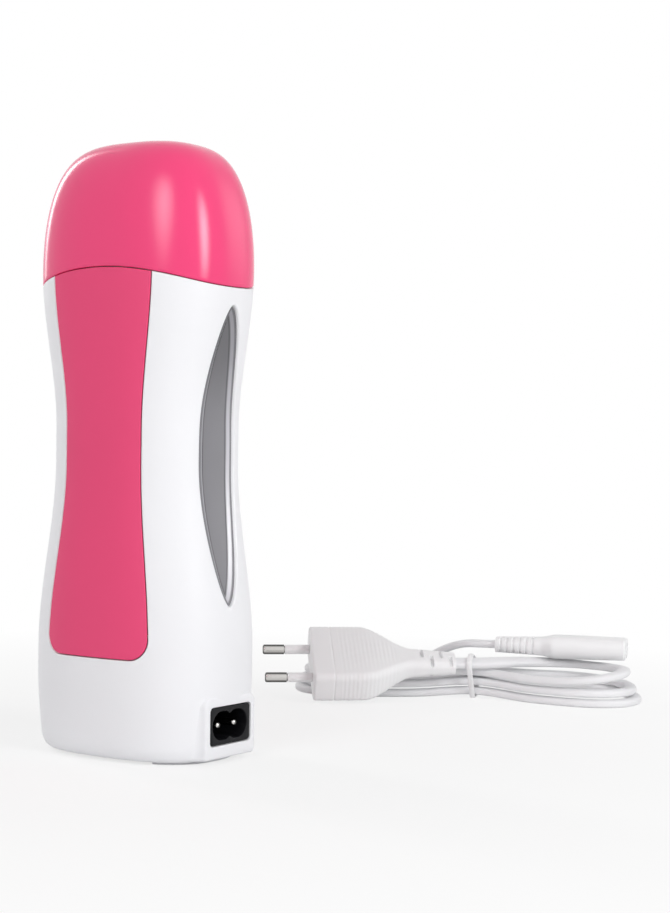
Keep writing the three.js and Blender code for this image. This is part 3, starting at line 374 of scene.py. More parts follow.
# %% [markdown]
# A flat cord has a section, not just a diameter, so it is a tube carried along the route: a superellipse
# 5.2 by 3.2 mm, nearly flat above and below, which stays level and tilts only where it enters the plug.
# The rings are set at equal lengths, and run a little way into the plug and the connector, as a real
# moulded-on cord does.

# %% Cord
CORD_RINGS, SECTION_POINTS = 620, 28
ROUTE_SAMPLES, ANGLE_STEP = 6000, 1e-4
SECTION_POWER = 0.7
END_SINK = 1.2


def cord_frames(angles):
    """Centre, wide direction, thin direction and run of the cord at each angle."""
    centre = cord_centre(angles)
    along = cord_centre(angles + ANGLE_STEP) - cord_centre(angles - ANGLE_STEP)
    along /= np.linalg.norm(along, axis=-1, keepdims=True)
    wide = np.cross(along, [0, 0, 1])
    wide /= np.linalg.norm(wide, axis=-1, keepdims=True)
    thin = np.cross(wide, along)
    last = angles / (2 * np.pi) - LOOPS + 1
    roll = np.radians(PLUG_TILT) * during(last, *PLUG_LIFT_SHARES)[..., None]
    rolled_wide = wide * np.cos(roll) + thin * np.sin(roll)
    rolled_thin = thin * np.cos(roll) - wide * np.sin(roll)
    return centre, rolled_wide, rolled_thin, along


def section_at(centres, wide, thin, across, upward):
    """A section's points, across and upward, at each centre."""
    return centres[:, None] + wide[:, None] * across[None, :, None] + thin[:, None] * upward[None, :, None]


dense = cord_centre(np.linspace(FIRST_ANGLE, LAST_ANGLE, ROUTE_SAMPLES))
cord_angles = FIRST_ANGLE + (LAST_ANGLE - FIRST_ANGLE) * even_samples(dense, CORD_RINGS)
centre, wide, thin, along = cord_frames(cord_angles)
centre[0] -= along[0] * END_SINK
centre[-1] += along[-1] * END_SINK
around = np.linspace(0, 2 * np.pi, SECTION_POINTS, endpoint=False)
across = CORD_WIDTH / 2 * signed_power(np.cos(around), SECTION_POWER)
upward = CORD_THICKNESS / 2 * signed_power(np.sin(around), SECTION_POWER)
tube = section_at(centre, wide, thin, across, upward)
tube_faces = grid_faces(CORD_RINGS, SECTION_POINTS, columns_close=True)
first_end = list(range(SECTION_POINTS))
last_end = [(CORD_RINGS - 1) * SECTION_POINTS + i for i in first_end]
cord = make_piece(
    "mains_cord",
    [(hank_to_world(tube), [*tube_faces, first_end[::-1], last_end])],
    "mains_lead",
    white_sheath,
    "cord_hank",
)
cord_line = hank_to_world(centre) * MM

# %% [markdown]
# ## Tie
# The hank is held by a soft white band. It touches the outermost corners of the cords that it goes
# round: for each direction the furthest corner of any section at the waist, pushed out by the band's
# slack, gives a rounded outline, and a small oval section is carried along it.

# %% Tie
BAND_POINTS, BAND_POWER = 180, 0.8
TIE_EDGE_ANGLE = 0.016
crossings = np.pi * np.arange(1, 2 * LOOPS + 1)
edge_angles = np.concatenate([crossings + nudge * TIE_EDGE_ANGLE for nudge in (-1, 0, 1)])
# The section's six outermost corners, as shares of its half width and half thickness
corner_across = CORD_WIDTH / 2 * np.array([1, 0.7, -0.7, -1, -0.7, 0.7])
corner_up = CORD_THICKNESS / 2 * np.array([0, 0.95, 0.95, 0, -0.95, -0.95])
corners = section_at(*cord_frames(edge_angles)[:3], corner_across, corner_up).reshape(-1, 3)[:, 1:]
corners[:, 1] = np.maximum(corners[:, 1], TIE_SLACK + TIE_THICKNESS)

bearing = np.linspace(0, 2 * np.pi, BAND_POINTS, endpoint=False)
outward = np.stack([np.cos(bearing), np.sin(bearing)], axis=-1)
furthest = corners[np.argmax(outward @ corners.T, axis=1)]
middle_line = furthest + outward * (TIE_SLACK + TIE_THICKNESS / 2)
band_out = TIE_THICKNESS / 2 * signed_power(np.sin(around), BAND_POWER)
band_across = TIE_WIDTH / 2 * signed_power(np.cos(around), BAND_POWER)
band = np.empty((BAND_POINTS, SECTION_POINTS, 3))
band[..., 0] = band_across[None, :]
band[..., 1:] = middle_line[:, None] + outward[:, None] * band_out[None, :, None]
tie = make_ringed(
    "hank_tie", hank_to_world(band), "mains_lead", white_soft, "cord_tie", rows_close=True
)

# %% [markdown]
# ## Blocks with rounded sides
# Plug and connector are moulded blocks that taper into a strain relief. Both are rings set along x, and
# each ring is a rectangle with round corners. The samples of a ring know whether they lie on a side or
# in a corner, so one set of samples fits every width, thickness and corner radius.

# %% Rounded rings
def ring_samples(flat, corner, side):
    """Signs and corner directions for the samples of one ring, anticlockwise from the top's left end.

    A sample lies at side sign times (half size less radius) plus radius times its corner direction.
    """
    quarter = np.linspace(0, np.pi / 2, corner, endpoint=False)
    share = np.linspace(1, -1, flat, endpoint=False)
    upright = np.linspace(1, -1, side, endpoint=False)
    one = np.ones
    parts = [
        (share, one(flat), 0 * share, one(flat)),
        (-one(corner), one(corner), -np.sin(quarter), np.cos(quarter)),
        (-one(side), upright, -one(side), 0 * upright),
        (-one(corner), -one(corner), -np.cos(quarter), -np.sin(quarter)),
        (-share, -one(flat), 0 * share, -one(flat)),
        (one(corner), -one(corner), np.sin(quarter), -np.cos(quarter)),
        (one(side), -upright, one(side), 0 * upright),
        (one(corner), one(corner), np.cos(quarter), np.sin(quarter)),
    ]
    return [np.concatenate(column) for column in zip(*parts)]


def rounded_rings(x, half_width, half_thickness, radius, samples):
    """Grid of rings: x for each ring, and y and z from the rounded rectangle of its sizes."""
    sign_y, sign_z, turn_y, turn_z = samples
    x, half_width, half_thickness, radius = [
        np.broadcast_to(v, np.shape(x))[:, None] for v in (x, half_width, half_thickness, radius)
    ]
    y = sign_y * (half_width - radius) + radius * turn_y
    z = sign_z * (half_thickness - radius) + radius * turn_z
    return np.stack([np.broadcast_to(x, y.shape), y, z], axis=-1)


def between(value, low, high, soft):
    """1 inside a range and 0 outside it, with soft edges of a given width."""
    return ease((value - low) / soft + 0.5) * ease((high - value) / soft + 0.5)


# %% [markdown]
# ## Plug
# A flat two-pin plug: a wide front block with a shallow groove behind it, fine ribs for the fingers, a
# taper, and a strain relief with staggered slots, which lets the cord bend gently. Slots, groove and ribs
# are pressed into the rings, as depths that depend on the place along and across.

# %% Plug body
PLUG_RELIEF, PLUG_TAPER, PLUG_STRAIGHT = 17, 22, 20
PLUG_NECK = -PLUG_RELIEF
PLUG_TAPER_START = PLUG_NECK - PLUG_TAPER
PLUG_FACE = PLUG_TAPER_START - PLUG_STRAIGHT
NECK_HALF_WIDTH, NECK_HALF_THICKNESS = 6, 4.2
RELIEF_HALF_WIDTH, RELIEF_HALF_THICKNESS = 5, 3.2
PLUG_CORNER, PLUG_EDGE, ROUNDING_SHARE = 3, 1, 0.9
PLUG_BODY_RINGS, PLUG_RELIEF_RINGS = 190, 130

edge_turn = np.linspace(0, np.pi / 2, 6)
edge_x = PLUG_FACE + PLUG_EDGE * (1 - np.cos(edge_turn))
body_x = np.linspace(PLUG_FACE + PLUG_EDGE, PLUG_NECK, PLUG_BODY_RINGS)[1:]
relief_x = np.linspace(PLUG_NECK, -FIT_GAP, PLUG_RELIEF_RINGS)[1:]
plug_x = np.concatenate([edge_x, body_x, relief_x])
narrowing = ease((plug_x - PLUG_TAPER_START) / PLUG_TAPER)
relief_share = np.clip((plug_x - PLUG_NECK) / (PLUG_RELIEF - FIT_GAP), 0, 1)
edge_loss = np.zeros(len(plug_x))
edge_loss[: len(edge_x)] = PLUG_EDGE * (1 - np.sin(edge_turn))


def plug_size(block, neck, relief):
    """Half a size along the plug: the block's, eased to the neck's, and then straight to the relief's."""
    return block + (neck - block) * narrowing + (relief - neck) * relief_share - edge_loss


plug_width = plug_size(PLUG_HALF_WIDTH, NECK_HALF_WIDTH, RELIEF_HALF_WIDTH)
plug_thickness = plug_size(PLUG_HALF_THICKNESS, NECK_HALF_THICKNESS, RELIEF_HALF_THICKNESS)
plug_radius = np.minimum(PLUG_CORNER, ROUNDING_SHARE * np.minimum(plug_width, plug_thickness))
rings = rounded_rings(plug_x, plug_width, plug_thickness, plug_radius, ring_samples(72, 10, 10))
print("plug:", rings.shape[0], "rings of", rings.shape[1], "points")

# %% [markdown]
# The groove and the ribs follow the whole ring, so they shrink it towards its axis. The slots are cut
# from both faces only: there the height is pressed down to the slot's floor.

# %% Groove, ribs and slots of the plug
GROOVE_PLACE, GROOVE_WIDTH, GROOVE_DEPTH, GROOVE_SOFT = 8, 0.6, 0.25, 0.4
RIBS_START, RIBS_END, RIBS_SOFT, RIB_PITCH, RIB_DEPTH = 11, 34, 2, 1.7, 0.14
SLOT_START, SLOT_PITCH, SLOT_LENGTH, SLOT_FLOOR, SLOT_SOFT, SLOTS = 2.3, 3.9, 1.3, 1.7, 0.25, 4
SLOT_SHARES = [(-0.2, 0.7), (-0.9, 0.0)]

x, y, z = np.moveaxis(rings, -1, 0)
behind_face = x - PLUG_FACE
groove = GROOVE_DEPTH * between(behind_face, GROOVE_PLACE, GROOVE_PLACE + GROOVE_WIDTH, GROOVE_SOFT)
wave = (1 + np.cos(2 * np.pi * behind_face / RIB_PITCH)) / 2
ribs = RIB_DEPTH * between(behind_face, RIBS_START, RIBS_END, RIBS_SOFT) * wave
shrink = 1 - (groove + ribs) / np.hypot(y, z)
y, z = y * shrink, z * shrink
for i in range(SLOTS):
    low, high = [share * NECK_HALF_WIDTH for share in SLOT_SHARES[i % 2]]
    start = PLUG_NECK + SLOT_START + SLOT_PITCH * i
    inside = between(x, start, start + SLOT_LENGTH, SLOT_SOFT) * between(y, low, high, SLOT_SOFT)
    z = z + inside * (np.sign(z) * np.minimum(np.abs(z), SLOT_FLOOR) - z)


def hub_row(grid, row):
    """A row whose points all lie in the middle of one of the grid's rings, which closes the grid there."""
    return np.broadcast_to(grid[row].mean(axis=0), grid[:1].shape)


plug_grid = np.stack([x, y, z], axis=-1)
plug_grid = np.concatenate([hub_row(plug_grid, 0), plug_grid, hub_row(plug_grid, -1)])
plug_root = cord_centre(np.array([LAST_ANGLE]))[0]


def plug_to_world(points):
    """From the plug's frame: tilted about its length, turned in line with the view, set at the cord's end."""
    return hank_to_world(turned(turned(points, PLUG_TILT, 0), HANK_TURN, 2) + plug_root)


plug_body = make_ringed(
    "plug_moulding", plug_to_world(plug_grid), "mains_lead", white_soft, "plug_body"
)

# %% [markdown]
# ## Pins
# A turned pin is a profile carried round its axis. The profile gives radius and place along x, and starts
# and ends on the axis, so that the piece is closed. The bare ends are nickel plated, and a thin white
# sleeve covers each root, which keeps fingers safe while the plug is half in.

# %% Plug pins and sleeves
PIN_RADIUS, PIN_LENGTH, PIN_SPACING, PIN_POINT, PIN_SEAT = 2, 19, 18.6, 0.8, 5
PIN_STEP_START, PIN_STEP_MIDDLE, PIN_STEP_END, PIN_STEP_LOSS = 0.25, 0.3, 0.4, 0.08
SLEEVE_LENGTH, SLEEVE_RADIUS, SLEEVE_BORE, SLEEVE_EDGE, SLEEVE_GAP = 10, 1.9, 1.5, 0.15, 0.1


def turned_solid(profile, y, z=0, sides=40):
    """Ring for each profile point, as radius and x, round an axis along x at a given y and z."""
    radius, x = np.array(profile, float).T[..., None]
    bearing = np.linspace(0, 2 * np.pi, sides, endpoint=False)[None, :]
    points = [x + 0 * bearing, y + radius * np.cos(bearing), z + radius * np.sin(bearing)]
    return np.stack(points, axis=-1)


tip = np.linspace(0, np.pi / 2, 7)
pin_end, sleeve_end = PLUG_FACE - PIN_LENGTH, PLUG_FACE - SLEEVE_LENGTH
pin_profile = [
    (0, PLUG_FACE + PIN_SEAT),
    (SLEEVE_BORE - SLEEVE_EDGE, PLUG_FACE + PIN_SEAT),
    (SLEEVE_BORE - SLEEVE_EDGE, sleeve_end - PIN_STEP_START),
    (PIN_RADIUS - PIN_STEP_LOSS, sleeve_end - PIN_STEP_MIDDLE),
    (PIN_RADIUS, sleeve_end - PIN_STEP_END),
    *[(PIN_RADIUS - PIN_POINT * (1 - np.cos(a)), pin_end + PIN_POINT * (1 - np.sin(a))) for a in tip],
    (0, pin_end),
]
sleeve_profile = [
    (SLEEVE_BORE, PLUG_FACE - SLEEVE_GAP),
    (SLEEVE_RADIUS, PLUG_FACE - SLEEVE_GAP),
    (SLEEVE_RADIUS, sleeve_end + SLEEVE_EDGE),
    (SLEEVE_RADIUS - SLEEVE_EDGE, sleeve_end),
    (SLEEVE_BORE, sleeve_end),
]
lead_pieces = [tie, plug_body]
for name, side in (("near", -1), ("far", 1)):
    pin = plug_to_world(turned_solid(pin_profile, side * PIN_SPACING / 2))
    sleeve = plug_to_world(turned_solid(sleeve_profile, side * PIN_SPACING / 2))
    lead_pieces += [
        make_ringed(f"bare_pin_{name}", pin, "mains_lead", nickel_with_painted_sides, f"plug_pin_{name}"),
        make_ringed(
            f"pin_sleeve_{name}",
            sleeve,
            "mains_lead",
            white_soft,
            f"plug_pin_sleeve_{name}",
            rows_close=True,
        ),
    ]

# %% [markdown]
# ## Connector
# The lead's other end fits the heater's inlet: a nose with two lobes and a hole in each, a smooth grip,
# and a ribbed strain relief. The body is again a row of rings. Its tip has two holes, so it is made of two
# halves: each half's outline shrinks to the circle of its hole, and goes down into it.

# %% Connector body
RELIEF_LENGTH, GRIP_LENGTH, NOSE_LENGTH, SHOULDER_LENGTH = 19, 17, 18, 6
CORD_END_HALF_SIZES, SHOULDER_HALF_SIZES, GRIP_HALF_SIZES = (4.2, 3.1), (5.6, 3.7), (7.9, 4.6)
TIP_TAPER, TIP_EDGE = 0.3, 0.5
NOSE_ROUND_SHARE = 0.94
NOSE_X = RELIEF_LENGTH + GRIP_LENGTH
TIP_X = NOSE_X + NOSE_LENGTH
PIN_PITCH, HOLE_RADIUS, HOLE_DEPTH = 8.6, 1.9, 14

relief_x = np.linspace(FIT_GAP, RELIEF_LENGTH, 150)
grip_x = np.linspace(RELIEF_LENGTH, NOSE_X, 34)[1:]
nose_x = np.linspace(NOSE_X, TIP_X, 30)[1:]
connector_x = np.concatenate([relief_x, grip_x, nose_x])
relief_share = np.clip((connector_x - FIT_GAP) / (RELIEF_LENGTH - FIT_GAP), 0, 1)
shoulder_share = ease((connector_x - RELIEF_LENGTH) / SHOULDER_LENGTH)
nose_share = np.clip((connector_x - NOSE_X) / NOSE_LENGTH, 0, 1)
tip_loss = TIP_TAPER * nose_share + TIP_EDGE * np.clip((connector_x - TIP_X) / TIP_EDGE + 1, 0, 1) ** 2
half_width, half_thickness = [
    cord_end + (shoulder - cord_end) * relief_share + (grip - shoulder) * shoulder_share - tip_loss
    for cord_end, shoulder, grip in zip(CORD_END_HALF_SIZES, SHOULDER_HALF_SIZES, GRIP_HALF_SIZES)
]
nose_radius = NOSE_ROUND_SHARE * half_thickness
rings = rounded_rings(connector_x, half_width, half_thickness, nose_radius, ring_samples(48, 16, 2))
print("connector:", rings.shape[0], "rings of", rings.shape[1], "points")

# %% Grooves of the relief and flutes of the nose
RELIEF_GROOVES, RELIEF_GROOVE_START, RELIEF_GROOVE_PITCH = 6, 2, 2.7
RELIEF_GROOVE_WIDTH, RELIEF_GROOVE_DEPTH, RELIEF_GROOVE_SOFT = 1.0, 0.7, 0.3
SPINE_FROM_Y, SPINE_TO_Y, SPINE_SOFT = 0.9, 1.7, 0.5
FLUTE_DEPTH, FLUTE_HALF_WIDTH, FLUTE_LEAD, FLUTE_RUN, FLUTE_LEAST_Z = 0.75, 2.1, 1, 3, 1

x, y, z = np.moveaxis(rings, -1, 0)
off_spine = 1 - between(np.sign(z) * y, SPINE_FROM_Y, SPINE_TO_Y, SPINE_SOFT) * (z != 0)
for i in range(RELIEF_GROOVES):
    start = RELIEF_GROOVE_START + RELIEF_GROOVE_PITCH * i
    inside = between(x, start, start + RELIEF_GROOVE_WIDTH, RELIEF_GROOVE_SOFT) * off_spine
    shrink = 1 - inside * RELIEF_GROOVE_DEPTH / np.hypot(y, z)
    y, z = y * shrink, z * shrink
flute = FLUTE_DEPTH * np.exp(-((y / FLUTE_HALF_WIDTH) ** 4)) * ease((x - NOSE_X + FLUTE_LEAD) / FLUTE_RUN)
z = z - np.sign(z) * flute * (np.abs(z) > FLUTE_LEAST_Z)
connector_grid = np.stack([x, y, z], axis=-1)

# %% [markdown]
# Each half of the tip runs from the middle of the top round one side to the middle of the bottom, and
# back along the middle line. A sample's bearing from the hole's centre gives its place on the circle.

# %% Connector tip with its two holes
HOLE_EDGE, HOLE_EDGE_MIDDLE = 0.2, 0.06
MIDDLE_POINTS = 12
TINY = 1e-9
tip_ring = connector_grid[-1]
tip_grids = []
for side in (-1, 1):
    half = tip_ring[side * tip_ring[:, 1] >= -TINY]
    half = half[np.argsort(side * np.arctan2(half[:, 2], half[:, 1] * side + TINY))]
    middle_line = np.linspace(half[-1], half[0], MIDDLE_POINTS + 2)[1:-1]
    middle_line[:, 1] = 0
    loop = np.concatenate([half, middle_line])
    hub = np.array([TIP_X, side * PIN_PITCH / 2, 0])
    bearing = np.arctan2(loop[:, 2] - hub[2], loop[:, 1] - hub[1])
    circle = np.stack([0 * bearing, np.cos(bearing), np.sin(bearing)], axis=-1)
    steps = [
        (HOLE_RADIUS + HOLE_EDGE, 0),
        (HOLE_RADIUS + HOLE_EDGE_MIDDLE, HOLE_EDGE_MIDDLE),
        (HOLE_RADIUS, HOLE_EDGE),
        (HOLE_RADIUS, HOLE_DEPTH),
        (0, HOLE_DEPTH),
    ]
    tip_grids.append(np.stack([loop, *[hub + circle * radius - [depth, 0, 0] for radius, depth in steps]]))
print("tip halves:", [grid.shape for grid in tip_grids])

# %% Connector piece
connector_root = cord_centre(np.array([FIRST_ANGLE]))[0]
connector_grid = np.concatenate([hub_row(connector_grid, 0), connector_grid])
grids = [
    (hank_to_world(grid + connector_root), grid_faces(*grid.shape[:2], columns_close=True))
    for grid in [connector_grid, *tip_grids]
]
lead_pieces.append(
    make_piece("connector_moulding", grids, "mains_lead", white_soft, "connector_body")
)

# %% [markdown]
# ## The body's surface
# All outer pieces of the heater share one surface. At each height its section is a superellipse, and half
# width and half depth swell from the waist to the foot and to the shoulder. Above the shoulder both draw
# in as a superellipse too, to the crown, and the foot tucks in. A piece is cut from this surface by its
# outline, and an inset gives its depth below it, so walls, recesses and rounded edges all follow it.

# %% Section of the body
OVERALL_HEIGHT = 202.3
WAIST_HALF_WIDTH, WAIST_HALF_DEPTH = 30.7, 23.8
FOOT_WIDTH_GAIN, FOOT_DEPTH_GAIN = 6.4, 2.6
SHOULDER_WIDTH_GAIN, SHOULDER_DEPTH_GAIN = 6.4, 1.3
WAIST_LOW_Z, WAIST_HIGH_Z, FOOT_FULL_Z, SHOULDER_Z = 96, 108, 36, 160
SHOULDER_LEAN, CROWN_LEAN = -0.7, 0.7
SHELL_BOTTOM_Z, FOOT_ROUND, FOOT_TUCK = 1.0, 5.0, 2.6
FOOT_DRAFT, FOOT_DRAFT_HEIGHT, FOOT_DRAFT_POWER = 1.8, 25.0, 1.5
CROWN_RISE_POWER, CROWN_SIDE_POWER, CROWN_LEAN_POWER = 2.14, 0.237, 6
BODY_POWER = 0.755
WALL = 2.2


def shoulder_gain(z):
    """Share of the shoulder's swelling at a height."""
    return ease((z - WAIST_HIGH_Z) / (SHOULDER_Z - WAIST_HIGH_Z))


def foot_gain(z):
    """Share of the foot's swelling at a height."""
    return ease((WAIST_LOW_Z - z) / (WAIST_LOW_Z - FOOT_FULL_Z))


def swell(z, waist, foot, shoulder):
    """A size at a height: the waist's, with its gains towards the foot and the shoulder."""
    return waist + foot * foot_gain(z) + shoulder * shoulder_gain(z)


def section(z, inset=0.0, top=OVERALL_HEIGHT):
    """Half width, half depth and lean at a height, for a surface that lies inset below the outer one.

    The swollen half sizes lose the inset, the foot's draft and a quarter circle's tuck, and what is left
    is scaled by the dome: 1 less a power of the rise above the shoulder, to a second power.
    """
    rise = np.clip((z - SHOULDER_Z) / (top - SHOULDER_Z), 0, 1)
    dome = (1 - rise**CROWN_RISE_POWER) ** CROWN_SIDE_POWER
    foot = np.clip((SHELL_BOTTOM_Z + FOOT_ROUND - z) / FOOT_ROUND, 0, 1)
    draft = np.clip((SHELL_BOTTOM_Z + FOOT_DRAFT_HEIGHT - z) / FOOT_DRAFT_HEIGHT, 0, 1)
    edge = inset + FOOT_DRAFT * draft**FOOT_DRAFT_POWER + FOOT_TUCK * (1 - np.sqrt(1 - foot * foot))
    half_width = (swell(z, WAIST_HALF_WIDTH, FOOT_WIDTH_GAIN, SHOULDER_WIDTH_GAIN) - edge) * dome
    half_depth = (swell(z, WAIST_HALF_DEPTH, FOOT_DEPTH_GAIN, SHOULDER_DEPTH_GAIN) - edge) * dome
    return half_width, half_depth, SHOULDER_LEAN * shoulder_gain(z) + CROWN_LEAN * rise**CROWN_LEAN_POWER


def on_body(angle, z, inset=0.0, top=OVERALL_HEIGHT, lean_sign=1):
    """Point of the body at an angle round it: 0 is the right side, and minus a quarter turn the front.

    Half width and half depth are multiplied by a power of the angle's cosine and sine.
    """
    half_width, half_depth, lean = section(z, inset, top)
    x = half_width * signed_power(np.cos(angle), BODY_POWER)
    y = lean_sign * lean + half_depth * signed_power(np.sin(angle), BODY_POWER)
    return np.stack(np.broadcast_arrays(x, y, z), axis=-1)


def angle_at_x(x, z):
    """Angle on the front at which the surface has a given x."""
    ratio = np.clip(x / section(z)[0], -1, 1)
    return -np.arccos(signed_power(ratio, 1 / BODY_POWER))


def angle_at_y(y, z, lean_sign):
    """Angle on the right side at which the surface has a given y."""
    _, half_depth, lean = section(z)
    ratio = np.clip((y - lean_sign * lean) / half_depth, -1, 1)
    return np.arcsin(signed_power(ratio, 1 / BODY_POWER))


print("half width, half depth and lean at the shoulder:", [round(float(v), 1) for v in section(SHOULDER_Z)])


# %% [markdown]
# ## Outlines on the body
# The cap meets the shells on an arc that rises over the front. A grip panel is a waisted strip with round
# lower corners, which runs up to the cap. A window is a pointed oval on the side. Each outline can grow or
# shrink, which gives the gaps between the pieces and the path of a rounded edge.

# %% Outlines
PARTING_SIDE_Z, PARTING_RISE, PARTING_HALF_WIDTH = 153.4, 6.15, 37.1
PARTING_RADIUS = (PARTING_HALF_WIDTH**2 + PARTING_RISE**2) / (2 * PARTING_RISE)
PANEL_HALF_WIDTH, PANEL_FOOT_GAIN, PANEL_SHOULDER_GAIN = 16.0, 5.3, 4.8
PANEL_BOTTOM_Z, PANEL_CORNER = 33.7, 6.5
CORNER_TOP_Z = PANEL_BOTTOM_Z + PANEL_CORNER
WINDOW_LOW_Z, WINDOW_HIGH_Z, WINDOW_HALF_WIDTH, WINDOW_TIP_POWER = 50.3, 147.75, 9.1, 0.55
WINDOW_MIDDLE_Z = (WINDOW_LOW_Z + WINDOW_HIGH_Z) / 2
WINDOW_HALF_HEIGHT = (WINDOW_HIGH_Z - WINDOW_LOW_Z) / 2


def parting_z(x):
    """Height of the arc between the cap and the shells."""
    level = PARTING_SIDE_Z + PARTING_RISE - PARTING_RADIUS
    return level + np.sqrt(PARTING_RADIUS**2 - np.minimum(np.abs(x), PARTING_HALF_WIDTH) ** 2)


def panel_edge(z, grow=0.0):
    """Half width of the grip panel's outline at a height."""
    return swell(z, PANEL_HALF_WIDTH, PANEL_FOOT_GAIN, PANEL_SHOULDER_GAIN) + grow


def window_edge(z, grow=0.0):
    """Half width of the window's outline at a height, and 0 above and below it.

    It is a power of 1 less the square of the height's share of the half height.
    """
    share = np.clip((z - WINDOW_MIDDLE_Z) / (WINDOW_HALF_HEIGHT + grow), -1, 1)
    return (WINDOW_HALF_WIDTH + grow) * (1 - share**2) ** WINDOW_TIP_POWER


def corner_path(grow, bottom_count, corner_count):
    """The panel's outline from the middle of its bottom round the lower corner, as x and z."""
    low = PANEL_BOTTOM_Z - grow
    radius = PANEL_CORNER + grow
    turn_x = panel_edge(CORNER_TOP_Z) - PANEL_CORNER
    bottom_x = np.linspace(0, turn_x, bottom_count, endpoint=False)
    turn = np.linspace(-np.pi / 2, 0, corner_count, endpoint=False)
    x = np.concatenate([bottom_x, turn_x + radius * np.cos(turn)])
    z = np.concatenate([0 * bottom_x + low, low + radius * (1 + np.sin(turn))])
    return x, z


print("window", round(2 * WINDOW_HALF_HEIGHT, 2), "mm high, parting arc of", round(PARTING_RADIUS, 1), "mm")


# %% [markdown]
# ## Shells
# A shell is a U round its grip panel: down one side, across the foot, and up the other. So it is a
# profile carried along a path. The path follows the panel's outline, and across it the profile runs over
# the outer skin from the panel's recess to the window or the seam, round a small edge, and back along
# the inner side of the wall. Heights near the top are lifted, so that the last row lies on the arc.

# %% Profile across a shell
EDGE, WINDOW_EDGE = 0.3, 0.7
SKIN_COLUMNS, WINDOW_ROWS = 46, 84
BOTTOM_COUNT, CORNER_COUNT = 16, 26
skin = (1 - np.cos(np.linspace(0, np.pi, SKIN_COLUMNS)[1:-1])) / 2
profile_q = np.concatenate([0 * ROLL, skin, 0 * ROLL + 1])
profile_grow = np.full(len(profile_q), FIT_GAP + EDGE)
profile_grow[: len(ROLL)] = FIT_GAP + EDGE * ROLL_IN
profile_far_grow = np.full(len(profile_q), WINDOW_EDGE)
profile_far_grow[-len(ROLL) :] = WINDOW_EDGE * ROLL_IN[::-1]
profile_inset = np.concatenate([EDGE * ROLL_OUT, 0 * skin, WINDOW_EDGE * ROLL_OUT[::-1]])
side_z = np.concatenate(
    [
        np.linspace(CORNER_TOP_Z, WINDOW_LOW_Z, 8)[:-1],
        WINDOW_MIDDLE_Z + WINDOW_HALF_HEIGHT * np.sin(np.linspace(-np.pi / 2, np.pi / 2, WINDOW_ROWS)),
        np.linspace(WINDOW_HIGH_Z, PARTING_SIDE_Z - EDGE, 7)[1:],
    ]
)
row_z = np.concatenate([side_z, PARTING_SIDE_Z - EDGE * ROLL_OUT[1:]])
row_inset = np.concatenate([0 * side_z, EDGE * ROLL_IN[1:]])
lift_share = np.clip((row_z - WAIST_HIGH_Z) / (PARTING_SIDE_Z - EDGE - WAIST_HIGH_Z), 0, 1) ** 2
print("shell profile:", len(profile_q), "outer columns,", len(row_z), "rows up a side")

# %% [markdown]
# Where the inlet's pad covers the shell, the skin stops short behind it, so that the pad's pocket stays
# open. The notch is a rounded square, and only the right side has it.

# %% Far edge of the shell
NOTCH_HALF_WIDTH, NOTCH_TOP_Z, NOTCH_POWER = 11.9, 19.2, 10
FOOT_SAMPLES, CORNER_SPREAD = 400, 3


def far_edge(z, grow, notched):
    """Half width of what the side skin stops at: the window, the pad's notch, or the seam at 0."""
    notch = NOTCH_HALF_WIDTH * (1 - np.clip(z / NOTCH_TOP_Z, 0, 1) ** NOTCH_POWER) ** (1 / NOTCH_POWER)
    return window_edge(z, grow) + (notch if notched else 0)


def foot_path(lean_sign, notched):
    """From the middle of the foot round to the seam and up to the panel's corner, as angles and heights."""
    end_angle = angle_at_y(-far_edge(SHELL_BOTTOM_Z, 0, notched), SHELL_BOTTOM_Z, lean_sign)
    rising_z = np.linspace(SHELL_BOTTOM_Z, CORNER_TOP_Z, FOOT_SAMPLES)
    foot_angle = np.linspace(-np.pi / 2, end_angle, FOOT_SAMPLES)
    angle = np.concatenate([foot_angle, angle_at_y(-far_edge(rising_z, 0, notched), rising_z, lean_sign)])
    z = np.concatenate([0 * foot_angle + SHELL_BOTTOM_Z, rising_z])
    corner_angle = angle_at_x(panel_edge(CORNER_TOP_Z) - PANEL_CORNER + CORNER_SPREAD, SHELL_BOTTOM_Z)
    along = lengths_along(on_body(angle, z))
    corner_along = np.interp(corner_angle, foot_angle, along[:FOOT_SAMPLES])
    bottom = np.linspace(0, corner_along, BOTTOM_COUNT, endpoint=False)
    corner = np.linspace(corner_along, along[-1], CORNER_COUNT, endpoint=False)
    wanted = np.concatenate([bottom, corner])
    return np.interp(wanted, along, angle), np.interp(wanted, along, z)


# %% One half of a shell
LIFT_ROUNDS, NEARLY_CLOSED, NEARLY_LEVEL = 4, 0.01, 1e-6


